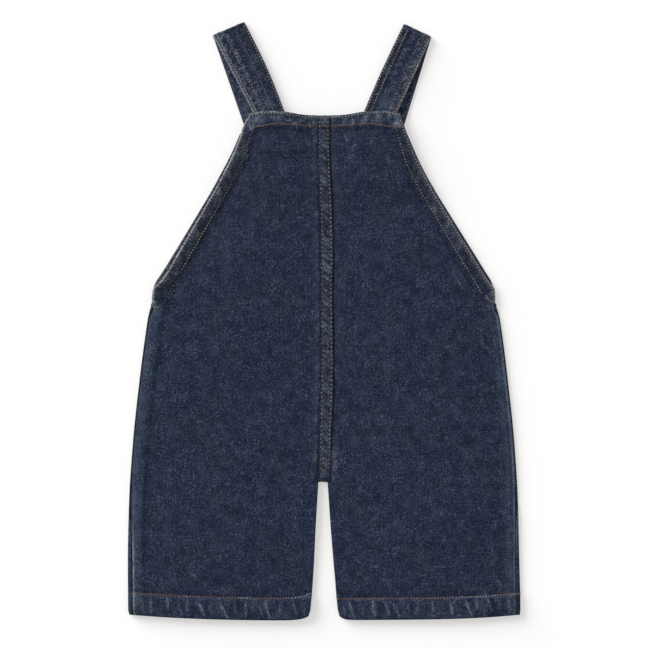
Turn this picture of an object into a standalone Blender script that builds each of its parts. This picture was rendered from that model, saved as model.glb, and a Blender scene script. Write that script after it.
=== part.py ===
"""A toddler's short-leg denim dungarees, laid flat with the back uppermost.

The cloth lies in the XY plane with the straps towards +Y and the table at z = 0. The origin is the
middle of the bounding box's underside. The two back panels and the two front panels lie on each
other. The front panels roll up round the side seams, so that a narrow strip of them shows beside the
back. Each strap is one strip, from under the back's neck edge over its shoulder fold and down under
the front bib, where a button holds it.
"""

import math
from collections import namedtuple

import bmesh
import bpy
import numpy as np

MM = 0.001

# Cloth thicknesses and clearances, in millimetres
WALL = 1.2
FACED_WALL = 1.7
HEM_WALL = 2.2
STRAP_WALL = 1.5
LAYER_GAP = 0.4
SEAM_GAP = 0.3

# Widths of the worked edges
FACING_WIDTH = 9.0
HEM_DEPTH = 15.6
FELL_WIDTH = 8.0
FELL_WALL = 0.9
FELL_SINK = 0.7
ALLOWANCE_RISE = 0.4
STEP_RUN = 1.8

# Heights along the garment, from the middle of its length
NECK_HEIGHT = 162.0
FRONT_NECK_HEIGHT = 146.0
UNDERARM_HEIGHT = 24.2
SEAM_TOP_HEIGHT = 12.4
SEAM_ROLLED_HEIGHT = 8.0
CROTCH_HEIGHT = -125.0
HEM_HEIGHT = -229.6

# The neck edge dips at the middle and lifts where the straps are caught, and the hems belly down
NECK_DIP = 1.7
NECK_LIFT = 2.2
HEM_DIP = 0.7
HEM_BELLY = {"left": 3.7, "right": 3.3}
HEM_CORNER = 0.04
NECK_FOLLOW = 26.0
HEM_FOLLOW = 60.0

# The front bib lies over the strap ends: lower outside them and between them, flat further down
BIB_OUTER_DROP = 0.45
BIB_OUTER_START = 59.0
BIB_OUTER_END = 76.0
BIB_MIDDLE_DROP = 0.25
BIB_MIDDLE_START = 6.0
BIB_MIDDLE_END = 25.0
BIB_FLAT_HEIGHT = 80.0
RUN_LOWERED_START = 143.0
RUN_LOWERED_END = 170.0

# How far the cloth of the back stands off the front, and the ripples that a sewn hem draws up
PUFF_MIDDLE = 0.9
PUFF_PANEL = 1.0
RIPPLE_HEIGHT = 0.55
RIPPLE_SPACING = 13.0

# Straps and buttons
BUTTON_DIAMETER = 13.0
BUTTON_HEIGHT = 1.6
BUTTON_HOLE = 1.5
BUTTON_HOLE_SPREAD = 1.7
BUTTON_RIM = 1.6
BUTTON_DISH = 0.5
BUTTON_ROUNDING = 0.4
BUTTON_INSET = 9.5
STRAP_ARCH = 0.9
STRAP_END_HEIGHT = 121.0

# Outer edges of the back, from the neck down. The roll is how much of the front shows beside them.
Level = namedtuple("Level", "name height left right left_roll right_roll")
LEVELS = (
    Level("neck corner", 162.2, -57.8, 58.9, -1.5, -1.5),
    Level("strap crossing", 153.2, -62.6, 62.1, -0.8, -0.8),
    Level("front appears", 146.0, -65.0, 64.5, 0.0, 0.0),
    Level("high armhole", 133.3, -69.8, 69.1, 0.8, 0.8),
    Level("chest", 117.7, -77.3, 76.2, 1.4, 1.2),
    Level("shoulder blade", 102.1, -85.2, 84.6, 2.0, 1.6),
    Level("mid armhole", 86.5, -94.1, 93.9, 2.4, 1.9),
    Level("low armhole", 55.3, -112.5, 113.1, 2.8, 2.1),
    Level("above underarm", 33.0, -126.7, 127.0, 2.8, 2.1),
    Level("underarm", 24.2, -133.9, 133.0, -0.8, -0.8),
    Level("armhole end", 14.6, -134.6, 133.7, -0.8, -0.8),
    Level("side seam top", 12.4, -132.9, 132.3, 2.2, 2.2),
    Level("waist", 0.7, -134.7, 134.4, 2.8, 2.8),
    Level("hip", -46.1, -140.7, 140.2, 3.1, 3.1),
    Level("thigh", -92.9, -145.7, 145.1, 3.1, 3.1),
    Level("crotch level", -139.7, -148.8, 148.0, 3.1, 3.1),
    Level("mid leg", -186.5, -149.8, 149.1, 3.1, 3.1),
    Level("hem top", -225.5, -149.5, 149.9, 3.1, 3.1),
    Level("hem edge", -229.6, -148.5, 149.5, 3.1, 3.1),
)

# The centre seam wanders a little as the cloth lies
SeamPoint = namedtuple("SeamPoint", "height middle")
SEAM = (
    SeamPoint(163.0, -0.6),
    SeamPoint(148.9, -0.5),
    SeamPoint(55.3, 1.7),
    SeamPoint(-32.0, 2.6),
    SeamPoint(-56.2, 1.6),
    SeamPoint(-93.7, 0.5),
    SeamPoint(-126.0, -0.6),
)

# Inner edges of the legs, below the crotch
LegPoint = namedtuple("LegPoint", "height left right")
LEGS = (
    LegPoint(-127.6, -4.6, 2.8),
    LegPoint(-163.1, -6.7, 5.2),
    LegPoint(-186.5, -7.8, 7.1),
    LegPoint(-209.9, -9.3, 9.2),
    LegPoint(-225.5, -10.8, 10.6),
    LegPoint(-229.6, -12.0, 11.8),
)

# Each strap by the ends of its sections: under the neck edge, at the fold, and under the front bib.
# The bows are how far the left and right edges of the run that shows lie off a straight line.
Strap = namedtuple("Strap", "name caught_left caught_right fold_left fold_right end_left end_right bows")
STRAPS = (
    Strap("left_strap", (-51.8, 155.0), (-28.4, 156.5), (-86.1, 222.4), (-62.3, 233.8),
          (-52.3, 121.6), (-29.4, 129.3), (0.3, 1.9)),
    Strap("right_strap", (28.4, 157.0), (53.3, 154.6), (62.8, 232.0), (82.9, 221.3),
          (29.6, 129.6), (52.4, 122.6), (-0.9, 0.0)),
)

# Rows of the panels, from the neck down: those near an edge follow it
NECK_ROWS = (0.0, 1.8, 5.0, 8.8, 8.8 + STEP_RUN)
BODY_ROWS = (145.5, 139.5, 133.0, 126.0, 119.0, 110.0, 100.0, 90.0, 79.0, 68.0, 56.0, 44.0, 33.0,
             UNDERARM_HEIGHT, 14.6, SEAM_TOP_HEIGHT, 11.3, 10.2, 9.1, SEAM_ROLLED_HEIGHT,
             -4.0, -20.0, -38.0, -56.0, -74.0, -92.0, -108.0,
             CROTCH_HEIGHT, -127.6, -140.0, -156.0, -172.0, -188.0, -201.0)
HEM_ROWS = (HEM_DEPTH + STEP_RUN, HEM_DEPTH, 11.0, 6.0, 1.8, 0.0)

# Columns of the panels, by their distance from the centre seam and from the outer edge
BACK_SEAM_COLUMNS = (0.0, 4.4, 6.2)
BACK_EDGE_COLUMNS = (12.2, 10.4, 5.6, 2.2, 0.0)
BACK_MIDDLE_COLUMNS = 9
FRONT_SEAM_COLUMNS = (0.0, 6.0)
FRONT_EDGE_COLUMNS = (14.0, 12.2)
FRONT_MIDDLE_COLUMNS = 4
ROLL_STEPS = 5


def ease(start, end, value):
    """0 before start and 1 after end, with a smooth step between them."""
    share = min(max((value - start) / (end - start), 0.0), 1.0)
    return share * share * (3.0 - 2.0 * share)


def mix(first, second, share):
    return first + (second - first) * share


def smooth_column(rows, field):
    """A function of height through one column of a table, smooth and with no overshoot."""
    ordered = sorted(rows, key=lambda row: row.height)
    heights = np.array([row.height for row in ordered])
    values = np.array([getattr(row, field) for row in ordered])
    steps = np.diff(heights)
    slopes = np.diff(values) / steps
    tangents = np.zeros(len(values))
    for k in range(1, len(values) - 1):
        if slopes[k - 1] * slopes[k] > 0:
            tangents[k] = 2.0 / (1.0 / slopes[k - 1] + 1.0 / slopes[k])
    tangents[0], tangents[-1] = slopes[0], slopes[-1]

    def value_at(height):
        k = int(np.clip(np.searchsorted(heights, height) - 1, 0, len(steps) - 1))
        t = min(max((height - heights[k]) / steps[k], 0.0), 1.0)
        start = (1 + 2 * t) * (1 - t) ** 2 * values[k] + t * (1 - t) ** 2 * steps[k] * tangents[k]
        end = t * t * (3 - 2 * t) * values[k + 1] + t * t * (t - 1) * steps[k] * tangents[k + 1]
        return float(start + end)

    return value_at


EDGE = {"left": smooth_column(LEVELS, "left"), "right": smooth_column(LEVELS, "right")}
ROLL = {"left": smooth_column(LEVELS, "left_roll"), "right": smooth_column(LEVELS, "right_roll")}
SEAM_MIDDLE = smooth_column(SEAM, "middle")
LEG = {"left": smooth_column(LEGS, "left"), "right": smooth_column(LEGS, "right")}
SIGN = {"left": -1.0, "right": 1.0}


def inner_edge(side, height):
    """Where a panel meets the centre seam, or below the crotch the gap between the legs."""
    if height < LEGS[0].height + 0.5:
        return LEG[side](height)
    return SEAM_MIDDLE(height) + SIGN[side] * SEAM_GAP / 2


def neck_shift(u):
    """The neck edge's height over its corner: it dips at the middle and lifts under the strap."""
    lift = NECK_LIFT * ease(0.22, 0.58, u) * (1.0 - ease(0.8, 1.0, u))
    return lift - NECK_DIP * (1.0 - u)


def hem_shift(side, u):
    """The hem edge's height over its outer corner: it bellies down towards the inner leg."""
    rounded = 1.0 - math.exp(-u / HEM_CORNER)
    return -HEM_BELLY[side] * (1.0 - u ** 3) * rounded - HEM_DIP * (1.0 - u)


def row_height(side, u, level, neck):
    """The height of a row's point: rows near the neck and the hem follow those edges."""
    near_neck = 1.0 - ease(0.0, NECK_FOLLOW, neck - level)
    near_hem = 1.0 - ease(HEM_DEPTH, HEM_FOLLOW, level - HEM_HEIGHT)
    return level + near_neck * neck_shift(u) + near_hem * hem_shift(side, u)


def run_rise(y):
    """How far the strap's hidden run is lifted off the table by the button under its end."""
    return (BUTTON_HEIGHT + SEAM_GAP) * (1.0 - ease(RUN_LOWERED_START, RUN_LOWERED_END, y))


def front_lift(x, y):
    """The height of the front's outer face, which lies flat below the bib and over the strap ends."""
    stack = run_rise(y) + STRAP_WALL + SEAM_GAP
    outside = 1.0 - BIB_OUTER_DROP * ease(BIB_OUTER_START, BIB_OUTER_END, abs(x))
    between = 1.0 - BIB_MIDDLE_DROP * (1.0 - ease(BIB_MIDDLE_START, BIB_MIDDLE_END, abs(x)))
    return stack * outside * between * ease(BIB_FLAT_HEIGHT, STRAP_END_HEIGHT - 3.0, y)


def worked_wall(from_edge, from_neck, from_hem, y, reach=0.0):
    """The wall's thickness: more in the faced neck and armholes, and more again in the hem."""
    faced = 1.0 - ease(FACING_WIDTH + reach, FACING_WIDTH + reach + STEP_RUN, from_neck)
    armhole = 1.0 - ease(FACING_WIDTH + reach, FACING_WIDTH + reach + STEP_RUN, 0.87 * from_edge)
    armhole *= ease(SEAM_ROLLED_HEIGHT, UNDERARM_HEIGHT - 6.0, y)
    hemmed = 1.0 - ease(HEM_DEPTH, HEM_DEPTH + STEP_RUN, from_hem)
    return WALL + (FACED_WALL - WALL) * max(faced, armhole) + (HEM_WALL - WALL) * hemmed


def hem_edge(side, x):
    """The height of the hem's lower edge at x."""
    outer, inner = EDGE[side](HEM_HEIGHT), LEG[side](HEM_HEIGHT)
    u = min(max((x - inner) / (outer - inner), 0.0), 1.0)
    return HEM_HEIGHT + hem_shift(side, u)


def front_wall(side, x, y, reach=0.0):
    """The front's thickness at a point. A positive reach carries its facing further in."""
    edge = EDGE[side](y) + SIGN[side] * ROLL[side](y)
    neck = FRONT_NECK_HEIGHT + neck_shift(0.0)
    return worked_wall(abs(edge - x), neck - y, y - hem_edge(side, x), y, reach)


def back_wall(side, x, y, from_edge):
    neck = NECK_HEIGHT + neck_shift(0.0)
    wall = worked_wall(from_edge, neck - y, y - hem_edge(side, x), y)
    ridge = ease(0.0, 2.0, from_edge) * (1.0 - ease(7.0, 10.0, from_edge))
    return wall + ALLOWANCE_RISE * ridge * (1.0 - ease(SEAM_ROLLED_HEIGHT, SEAM_TOP_HEIGHT, y))


def ripple(side, x, y):
    """Soft uneven ripples that the sewn hem draws up, strongest in the hem itself."""
    above = y - hem_edge(side, x)
    strength = (1.0 - ease(HEM_DEPTH * 0.8, HEM_DEPTH * 2.2, above)) * ease(-2.0, 5.0, above)
    along = x + 0.4 * above + 3.0 * math.sin(x / 17.0)
    wave = 0.5 + 0.5 * math.sin(2.0 * math.pi * along / RIPPLE_SPACING)
    return RIPPLE_HEIGHT * strength * wave * (0.65 + 0.35 * math.sin(x / 9.0 + 1.0))


def puff(side, u, x, y):
    """How far the back stands off the front: most along the middle of each panel, none at its edge."""
    across = PUFF_MIDDLE * (1.0 - ease(0.72, 1.0, u)) + PUFF_PANEL * math.sin(math.pi * u) ** 2
    slow = 1.0 + 0.25 * math.sin(y / 31.0 + 2.0 * u) + 0.12 * math.sin(y / 13.0 - x / 19.0)
    above = y - hem_edge(side, x)
    return across * slow * mix(0.35, 1.0, ease(0.0, 70.0, above))


def back_face(side, u, x, y):
    """The height of the back's outer face and the thickness of its wall."""
    from_edge = abs(EDGE[side](y) - x)
    wall = back_wall(side, x, y, from_edge)
    under = front_lift(x, y) + front_wall(side, x, y, reach=3.0 * ease(0.0, 4.0, from_edge))
    sink = FELL_SINK * (1.0 - ease(FELL_WIDTH / 2 + 0.4, FELL_WIDTH / 2 + 2.2, abs(x - SEAM_MIDDLE(y))))
    sink *= ease(CROTCH_HEIGHT - 3.0, CROTCH_HEIGHT, y)
    return under + LAYER_GAP + wall + puff(side, u, x, y) + ripple(side, x, y) - sink, wall


def material(name, colour, roughness, metallic=0.0):
    made = bpy.data.materials.new(name)
    made.use_nodes = True
    surface = made.node_tree.nodes["Principled BSDF"]
    surface.inputs["Base Color"].default_value = (*colour, 1.0)
    surface.inputs["Roughness"].default_value = roughness
    surface.inputs["Metallic"].default_value = metallic
    return made


def collection(name):
    made = bpy.data.collections.new(name)
    bpy.context.scene.collection.children.link(made)
    return made


def add_object(name, mesh_builder, group, look):
    mesh = bpy.data.meshes.new(name)
    mesh_builder.to_mesh(mesh)
    mesh_builder.free()
    mesh.materials.append(look)
    obj = bpy.data.objects.new(name, mesh)
    group.objects.link(obj)
    return obj


def cloth(name, grid, group, look):
    """A piece of cloth from a grid of (x, y, z, wall) rows on its outer face, given its wall by Solidify."""
    columns, rows = len(grid[0]) - 1, len(grid) - 1
    builder = bmesh.new()
    bmesh.ops.create_grid(builder, x_segments=columns, y_segments=rows, size=1.0)
    walls = []
    for vert in builder.verts:
        i = round((vert.co.x + 1.0) / 2.0 * columns)
        j = round((vert.co.y + 1.0) / 2.0 * rows)
        x, y, z, wall = grid[j][i]
        vert.co = (x * MM, y * MM, z * MM)
        walls.append(wall)
    thickest = max(walls)
    obj = add_object(name, builder, group, look)
    weights = obj.vertex_groups.new(name="wall")
    for index, wall in enumerate(walls):
        weights.add([index], wall / thickest, "REPLACE")
    obj.data.shade_smooth()
    obj.data.set_sharp_from_angle(angle=math.radians(50))
    solid = obj.modifiers.new("wall", "SOLIDIFY")
    solid.thickness = thickest * MM
    solid.offset = -1.0
    solid.vertex_group = "wall"
    solid.use_rim = True
    return obj


def shares(width, from_seam, from_edge, between):
    """Where the columns lie across a row of this width: 0 at the seam and 1 at the outer edge."""
    start, end = from_seam[-1] / width, 1.0 - from_edge[0] / width
    middle = [mix(start, end, (k + 1) / (between + 1)) for k in range(between)]
    return [d / width for d in from_seam] + middle + [1.0 - d / width for d in from_edge]


def panel_rows(neck):
    near_neck = [neck - d for d in NECK_ROWS]
    near_hem = [HEM_HEIGHT + d for d in HEM_ROWS]
    return near_neck + [h for h in BODY_ROWS if h < near_neck[-1] - 2.0] + near_hem


def back_panel(side, group, look):
    """A back panel's outer face, seam to edge, with its rows listed from the hem up."""
    grid = []
    for level in reversed(panel_rows(NECK_HEIGHT)):
        outer_y = row_height(side, 1.0, level, NECK_HEIGHT)
        inner_y = row_height(side, 0.0, level, NECK_HEIGHT)
        outer, inner = EDGE[side](outer_y), inner_edge(side, inner_y)
        row = []
        for u in shares(abs(outer - inner), BACK_SEAM_COLUMNS, BACK_EDGE_COLUMNS, BACK_MIDDLE_COLUMNS):
            x, y = mix(inner, outer, u), row_height(side, u, level, NECK_HEIGHT)
            z, wall = back_face(side, u, x, y)
            row.append((x, y, z, wall))
        grid.append(row if side == "right" else row[::-1])
    return cloth(f"back_{side}_panel", grid, group, look)


def rolled(distance, radius, turn):
    """Outward and upward travel after a distance along cloth that bends through turn half-circles."""
    if turn < 1e-6:
        return distance, 0.0
    bend = math.pi * radius
    angle = turn * min(distance, bend) / radius
    straight = max(distance - bend, 0.0)
    outward = radius / turn * math.sin(angle) + straight * math.cos(math.pi * turn)
    upward = radius / turn * (1.0 - math.cos(angle)) + straight * math.sin(math.pi * turn)
    return outward, upward


def front_panel(side, group, look):
    """A front panel's outer face: flat on the table, and rolled up round the side seam."""
    grid = []
    sign = SIGN[side]
    for level in panel_rows(FRONT_NECK_HEIGHT):
        outer_y = row_height(side, 1.0, level, FRONT_NECK_HEIGHT)
        inner_y = row_height(side, 0.0, level, FRONT_NECK_HEIGHT)
        edge, roll = EDGE[side](outer_y), ROLL[side](outer_y)
        silhouette, inner = edge + sign * roll, inner_edge(side, inner_y)
        turn = 1.0 - ease(SEAM_ROLLED_HEIGHT, SEAM_TOP_HEIGHT, outer_y)
        wall = front_wall(side, silhouette, outer_y)
        radius = wall + LAYER_GAP / 2
        flap = max(roll - radius - SEAM_GAP, 0.25)
        steps = [math.pi * radius * k / ROLL_STEPS for k in range(ROLL_STEPS + 1)]
        travel = [rolled(s, radius, turn) for s in [*steps, steps[-1] + flap]]
        start = silhouette - sign * max(outward for outward, _ in travel)
        row = []
        columns = shares(abs(silhouette - inner), FRONT_SEAM_COLUMNS, FRONT_EDGE_COLUMNS, FRONT_MIDDLE_COLUMNS)
        for u in columns:
            x, y = mix(inner, silhouette, u), row_height(side, u, level, FRONT_NECK_HEIGHT)
            row.append((x, y, front_lift(x, y), front_wall(side, x, y)))
        for outward, upward in travel:
            x = start + sign * outward
            row.append((x, outer_y, front_lift(x, outer_y) + upward, wall))
        grid.append(row if side == "right" else row[::-1])
    return cloth(f"front_{side}_panel", grid, group, look)


def centre_fell(group, look):
    """The seam band over the join of the back panels, made from their faces, moved out."""
    grid = []
    half = FELL_WIDTH / 2
    for level in reversed([h for h in panel_rows(NECK_HEIGHT) if h >= CROTCH_HEIGHT]):
        y = row_height("left", 0.0, level, NECK_HEIGHT)
        middle = SEAM_MIDDLE(y)
        row = []
        for across in (-half, -half / 2, half / 2, half):
            side = "left" if across < 0 else "right"
            x = middle + across
            width = abs(EDGE[side](y) - middle)
            z, _ = back_face(side, abs(across) / width, x, y)
            row.append((x, y, z + SEAM_GAP + FELL_WALL, FELL_WALL))
        grid.append(row)
    return cloth("centre_back_fell", grid, group, look)


def strap(piece, group, look):
    """One folded strip: its caught end, the run that shows, the shoulder fold, and the run behind."""
    radius = STRAP_WALL + SEAM_GAP / 2
    caught = (np.array(piece.caught_left), np.array(piece.caught_right))
    fold = (np.array(piece.fold_left), np.array(piece.fold_right))
    end = (np.array(piece.end_left), np.array(piece.end_right))
    across_fold = fold[1] - fold[0]
    up_strap = np.array([-across_fold[1], across_fold[0]]) / np.linalg.norm(across_fold)
    lay = [fold[k] - up_strap * radius for k in (0, 1)]
    grid = []

    def add_row(left, right, height_at):
        row = []
        for share in np.linspace(0.0, 1.0, 5):
            x, y = mix(left, right, share)
            row.append((x, y, height_at(x, y), STRAP_WALL))
        grid.append(row)

    for share in np.linspace(0.0, 1.0, 13):
        bulge = math.sin(math.pi * share)
        left = mix(caught[0], lay[0], share) + (piece.bows[0] * bulge, 0.0)
        right = mix(caught[1], lay[1], share) + (piece.bows[1] * bulge, 0.0)
        add_row(left, right, lambda x, y: run_rise(y) + 2 * radius + STRAP_ARCH * bulge)
    for k in range(1, 6):
        angle = math.pi * k / 6
        forward, height = radius * math.sin(angle), radius * (1.0 + math.cos(angle))
        add_row(lay[0] + up_strap * forward, lay[1] + up_strap * forward,
                lambda x, y: height)
    for share in np.linspace(0.0, 1.0, 15):
        add_row(mix(lay[0], end[0], share), mix(lay[1], end[1], share),
                lambda x, y: run_rise(y))
    return cloth(piece.name, grid, group, look)


def drill(target, centre, across, height, helpers):
    """Four thread holes right through a button."""
    for quarter in range(4):
        turn = math.radians(45 + 90 * quarter)
        place = (centre[0] + BUTTON_HOLE_SPREAD * math.cos(turn), centre[1] + BUTTON_HOLE_SPREAD * math.sin(turn))
        builder = bmesh.new()
        bmesh.ops.create_cone(builder, cap_ends=True, segments=10, radius1=across / 2 * MM,
                              radius2=across / 2 * MM, depth=4 * height * MM)
        mesh = bpy.data.meshes.new(f"{target.name}_hole_{quarter}")
        builder.to_mesh(mesh)
        builder.free()
        cutter = bpy.data.objects.new(mesh.name, mesh)
        cutter.location = (place[0] * MM, place[1] * MM, 0.0)
        cutter.hide_render = True
        cutter.display_type = "WIRE"
        helpers.objects.link(cutter)
        cut = target.modifiers.new(f"hole {quarter}", "BOOLEAN")
        cut.operation = "DIFFERENCE"
        cut.solver = "EXACT"
        cut.object = cutter


def button(piece, group, helpers, look):
    """A plain four-hole button with a raised rim, facing the table under the strap's end."""
    left, right = np.array(piece.end_left), np.array(piece.end_right)
    fold = (np.array(piece.fold_left) + np.array(piece.fold_right)) / 2
    end = (left + right) / 2
    centre = end + (fold - end) / np.linalg.norm(fold - end) * BUTTON_INSET
    outer, rim = BUTTON_DIAMETER / 2, BUTTON_DIAMETER / 2 - BUTTON_RIM
    soft = BUTTON_ROUNDING
    profile = ((0.0, BUTTON_HEIGHT), (outer - soft, BUTTON_HEIGHT), (outer, BUTTON_HEIGHT - soft),
               (outer, soft), (outer - soft, 0.0), (rim, 0.0), (rim - BUTTON_DISH, BUTTON_DISH),
               (0.0, BUTTON_DISH))
    builder = bmesh.new()
    points = [builder.verts.new((r * MM, 0.0, z * MM)) for r, z in profile]
    for first, second in zip(points, points[1:]):
        builder.edges.new((first, second))
    obj = add_object(piece.name.replace("strap", "button"), builder, group, look)
    obj.location = (centre[0] * MM, centre[1] * MM, 0.0)
    turned = obj.modifiers.new("turned", "SCREW")
    turned.steps = turned.render_steps = 28
    turned.use_merge_vertices = True
    turned.merge_threshold = 0.00001
    drill(obj, centre, BUTTON_HOLE, BUTTON_HEIGHT, helpers)
    return obj


def clear_scene():
    for obj in list(bpy.data.objects):
        bpy.data.objects.remove(obj, do_unlink=True)


def main():
    clear_scene()
    group = collection("denim_dungarees")
    helpers = collection("cutters")
    denim = material("denim", (0.022, 0.031, 0.060), 0.9)
    worn_denim = material("worn_denim", (0.045, 0.052, 0.080), 0.9)
    resin = material("button_resin", (0.060, 0.045, 0.035), 0.45)
    for side in ("left", "right"):
        front_panel(side, group, denim)
        back_panel(side, group, denim)
    centre_fell(group, worn_denim)
    for piece in STRAPS:
        strap(piece, group, worn_denim)
        button(piece, group, helpers, resin)


main()
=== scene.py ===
# %% [markdown]
# # Denim dungarees, laid flat
#
# A pair of toddler's short-leg dungarees lies on a white table with its back uppermost. The cloth is a
# dark indigo twill that has been washed, so it is paler wherever it stands proud: along its turned edges,
# on the seam bands, and on the puckers that a sewn hem draws up.
#
# The model that is loaded first holds each piece of cloth at its real size and place, as a plain solid.
# Here each solid gets a finer piece in its place, with puckers, creases, stitches and a finish.

# %% Load the plain model
import math
from collections import namedtuple

import bpy
import numpy as np
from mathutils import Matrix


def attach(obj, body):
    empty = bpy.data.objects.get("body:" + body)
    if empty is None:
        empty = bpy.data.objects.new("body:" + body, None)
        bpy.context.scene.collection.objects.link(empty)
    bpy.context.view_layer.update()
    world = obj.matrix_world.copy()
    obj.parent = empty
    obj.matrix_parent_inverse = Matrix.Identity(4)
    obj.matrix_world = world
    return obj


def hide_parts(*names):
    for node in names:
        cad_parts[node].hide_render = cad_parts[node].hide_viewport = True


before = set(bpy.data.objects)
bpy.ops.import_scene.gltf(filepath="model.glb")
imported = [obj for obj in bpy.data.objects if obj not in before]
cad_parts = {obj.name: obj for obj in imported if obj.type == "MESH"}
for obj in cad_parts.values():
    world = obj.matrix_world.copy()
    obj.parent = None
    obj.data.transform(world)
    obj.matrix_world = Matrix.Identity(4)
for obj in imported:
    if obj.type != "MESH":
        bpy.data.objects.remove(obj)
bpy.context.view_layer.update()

scene = bpy.context.scene
bpy.ops.object.select_all(action="DESELECT")
print("pieces of the plain model:", ", ".join(sorted(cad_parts)))

# %% [markdown]
# ## Camera
#
# The picture looks straight down and shows no perspective, so the camera hangs high above the table with a
# long lens. One pixel is 0.78 mm of cloth. The garment sits high in the picture, so the camera hangs a
# little below its middle.

# %% Hang the camera over the table
MM = 0.001
PIXEL = 0.78 * MM
PICTURE_WIDTH = 648 * PIXEL
CAMERA_HEIGHT = 2.5
CLOTH_TOP = 6 * MM
SENSOR = 36
CAMERA_X = -0.12 * MM
CAMERA_Y = -2.42 * MM

eye = bpy.data.cameras.new("camera")
eye.sensor_width = SENSOR
eye.lens = SENSOR * (CAMERA_HEIGHT - CLOTH_TOP) / PICTURE_WIDTH
camera = bpy.data.objects.new("camera", eye)
camera.location = (CAMERA_X, CAMERA_Y, CAMERA_HEIGHT)
scene.collection.objects.link(camera)
scene.camera = camera
print(f"lens {eye.lens:.0f} mm, {PICTURE_WIDTH * 1000:.0f} mm of table across the picture")

# %% [markdown]
# ## Light and table
#
# The light falls evenly from all round, with a stronger share that comes low from the upper left. A sun with
# a wide disc gives its soft shadow, and a white world fills the rest. The table's paint glows a little, a
# painted fill light that keeps the shadow pale. The Standard view leaves plain colours unchanged.

# %% Light the table
SUN_STRENGTH = 5.27
SUN_SPREAD = 46
SUN_TILT_FROM_TOP = 37.5
SUN_TILT_FROM_LEFT = 67.7
WORLD_STRENGTH = 0.53
WHITE = (1, 1, 1, 1)
TABLE_SIZE = 8
TABLE_DEPTH = 0.25 * MM
TABLE_PAINT = 0.54
TABLE_GLOW = 0.45
TABLE_GLOW_COLOUR = (1, 0.985, 0.97, 1)

scene.view_settings.view_transform = "Standard"
scene.view_settings.look = "None"

world = bpy.data.worlds.new("white room")
world.use_nodes = True
background = world.node_tree.nodes["Background"]
background.inputs["Color"].default_value = WHITE
background.inputs["Strength"].default_value = WORLD_STRENGTH
scene.world = world

sun = bpy.data.lights.new("window", "SUN")
sun.energy = SUN_STRENGTH
sun.angle = math.radians(SUN_SPREAD)
window = bpy.data.objects.new("window", sun)
window.rotation_euler = (-math.radians(SUN_TILT_FROM_TOP), -math.radians(SUN_TILT_FROM_LEFT), 0)
scene.collection.objects.link(window)

bpy.ops.mesh.primitive_plane_add(size=TABLE_SIZE, location=(0, 0, -TABLE_DEPTH))
table = bpy.context.object
table.name = "table"
paint = bpy.data.materials.new("white table")
paint.use_nodes = True
top = paint.node_tree.nodes["Principled BSDF"]
top.inputs["Base Color"].default_value = (TABLE_PAINT, TABLE_PAINT, TABLE_PAINT, 1)
top.inputs["Roughness"].default_value = 0.95
top.inputs["Specular IOR Level"].default_value = 0
# Painted glow: the table lights itself a little, which lifts its shadows.
top.inputs["Emission Color"].default_value = TABLE_GLOW_COLOUR
top.inputs["Emission Strength"].default_value = TABLE_GLOW
table.data.materials.append(paint)
table.select_set(False)
print(f"sun {SUN_STRENGTH}, world {WORLD_STRENGTH}, table glow {TABLE_GLOW}")

# %% [markdown]
# ## The garment's sizes
#
# The sizes and short tables that shape the plain model are written out here in millimetres, because every
# fold and stitch is placed by them. Heights run from the hems up, and 0 is half way.

# %% Name the sizes of the cloth
WALL = 1.2
FACED_WALL = 1.7
HEM_WALL = 2.2
STRAP_WALL = 1.5
LAYER_GAP = 0.4
SEAM_GAP = 0.3
FACING_WIDTH = 9
HEM_DEPTH = 15.6
FELL_WIDTH = 8
FELL_WALL = 0.9
FELL_SINK = 0.7
ALLOWANCE_RISE = 0.4
STEP_RUN = 1.8
NECK_HEIGHT = 162
BIB_HEIGHT = 146
UNDERARM = 24.2
SEAM_TOP = 12.4
SEAM_ROLLED = 8
CROTCH = -125
HEM_HEIGHT = -229.6
NECK_DIP = 1.7
NECK_LIFT = 2.2
NECK_FOLLOW = 26
HEM_DIP = 0.7
HEM_BELLY = {"left": 3.7, "right": 3.3}
HEM_CORNER = {"left": 0.04, "right": 0.022}
HEM_POWER = {"left": 3, "right": 4.2}
HEM_FOLLOW = 60
BIB_OUTER_DROP, BIB_OUTER_START, BIB_OUTER_END = 0.45, 59, 76
BIB_MIDDLE_DROP, BIB_MIDDLE_START, BIB_MIDDLE_END = 0.25, 6, 25
BIB_FLAT_HEIGHT = 80
RUN_LOWERED_START, RUN_LOWERED_END = 143, 170
PUFF_MIDDLE = 0.9
PUFF_PANEL = 1
RIPPLE_HEIGHT = 0.55
RIPPLE_SPACING = 13
BUTTON_DIAMETER = 13
BUTTON_HEIGHT = 1.6
BUTTON_HOLE = 1.5
BUTTON_HOLE_SPREAD = 1.7
BUTTON_RIM = 1.6
BUTTON_DISH = 0.5
BUTTON_INSET = 9.5
STRAP_ARCH = 0.9
STRAP_END_HEIGHT = 121
print(f"neck edge to hem {NECK_HEIGHT - HEM_HEIGHT:.0f} mm, walls {WALL} to {HEM_WALL} mm thick")

# %% [markdown]
# ## The outline
#
# The sides, the centre seam and the gap between the legs wander a little, as hand-laid cloth does. They
# could be drawn as curves, but a table is easier to check against the real thing. `roll` says how far the
# rolled front stands out beyond the back. A strap is given by its corners, and by how far each long edge
# bows.

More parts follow.
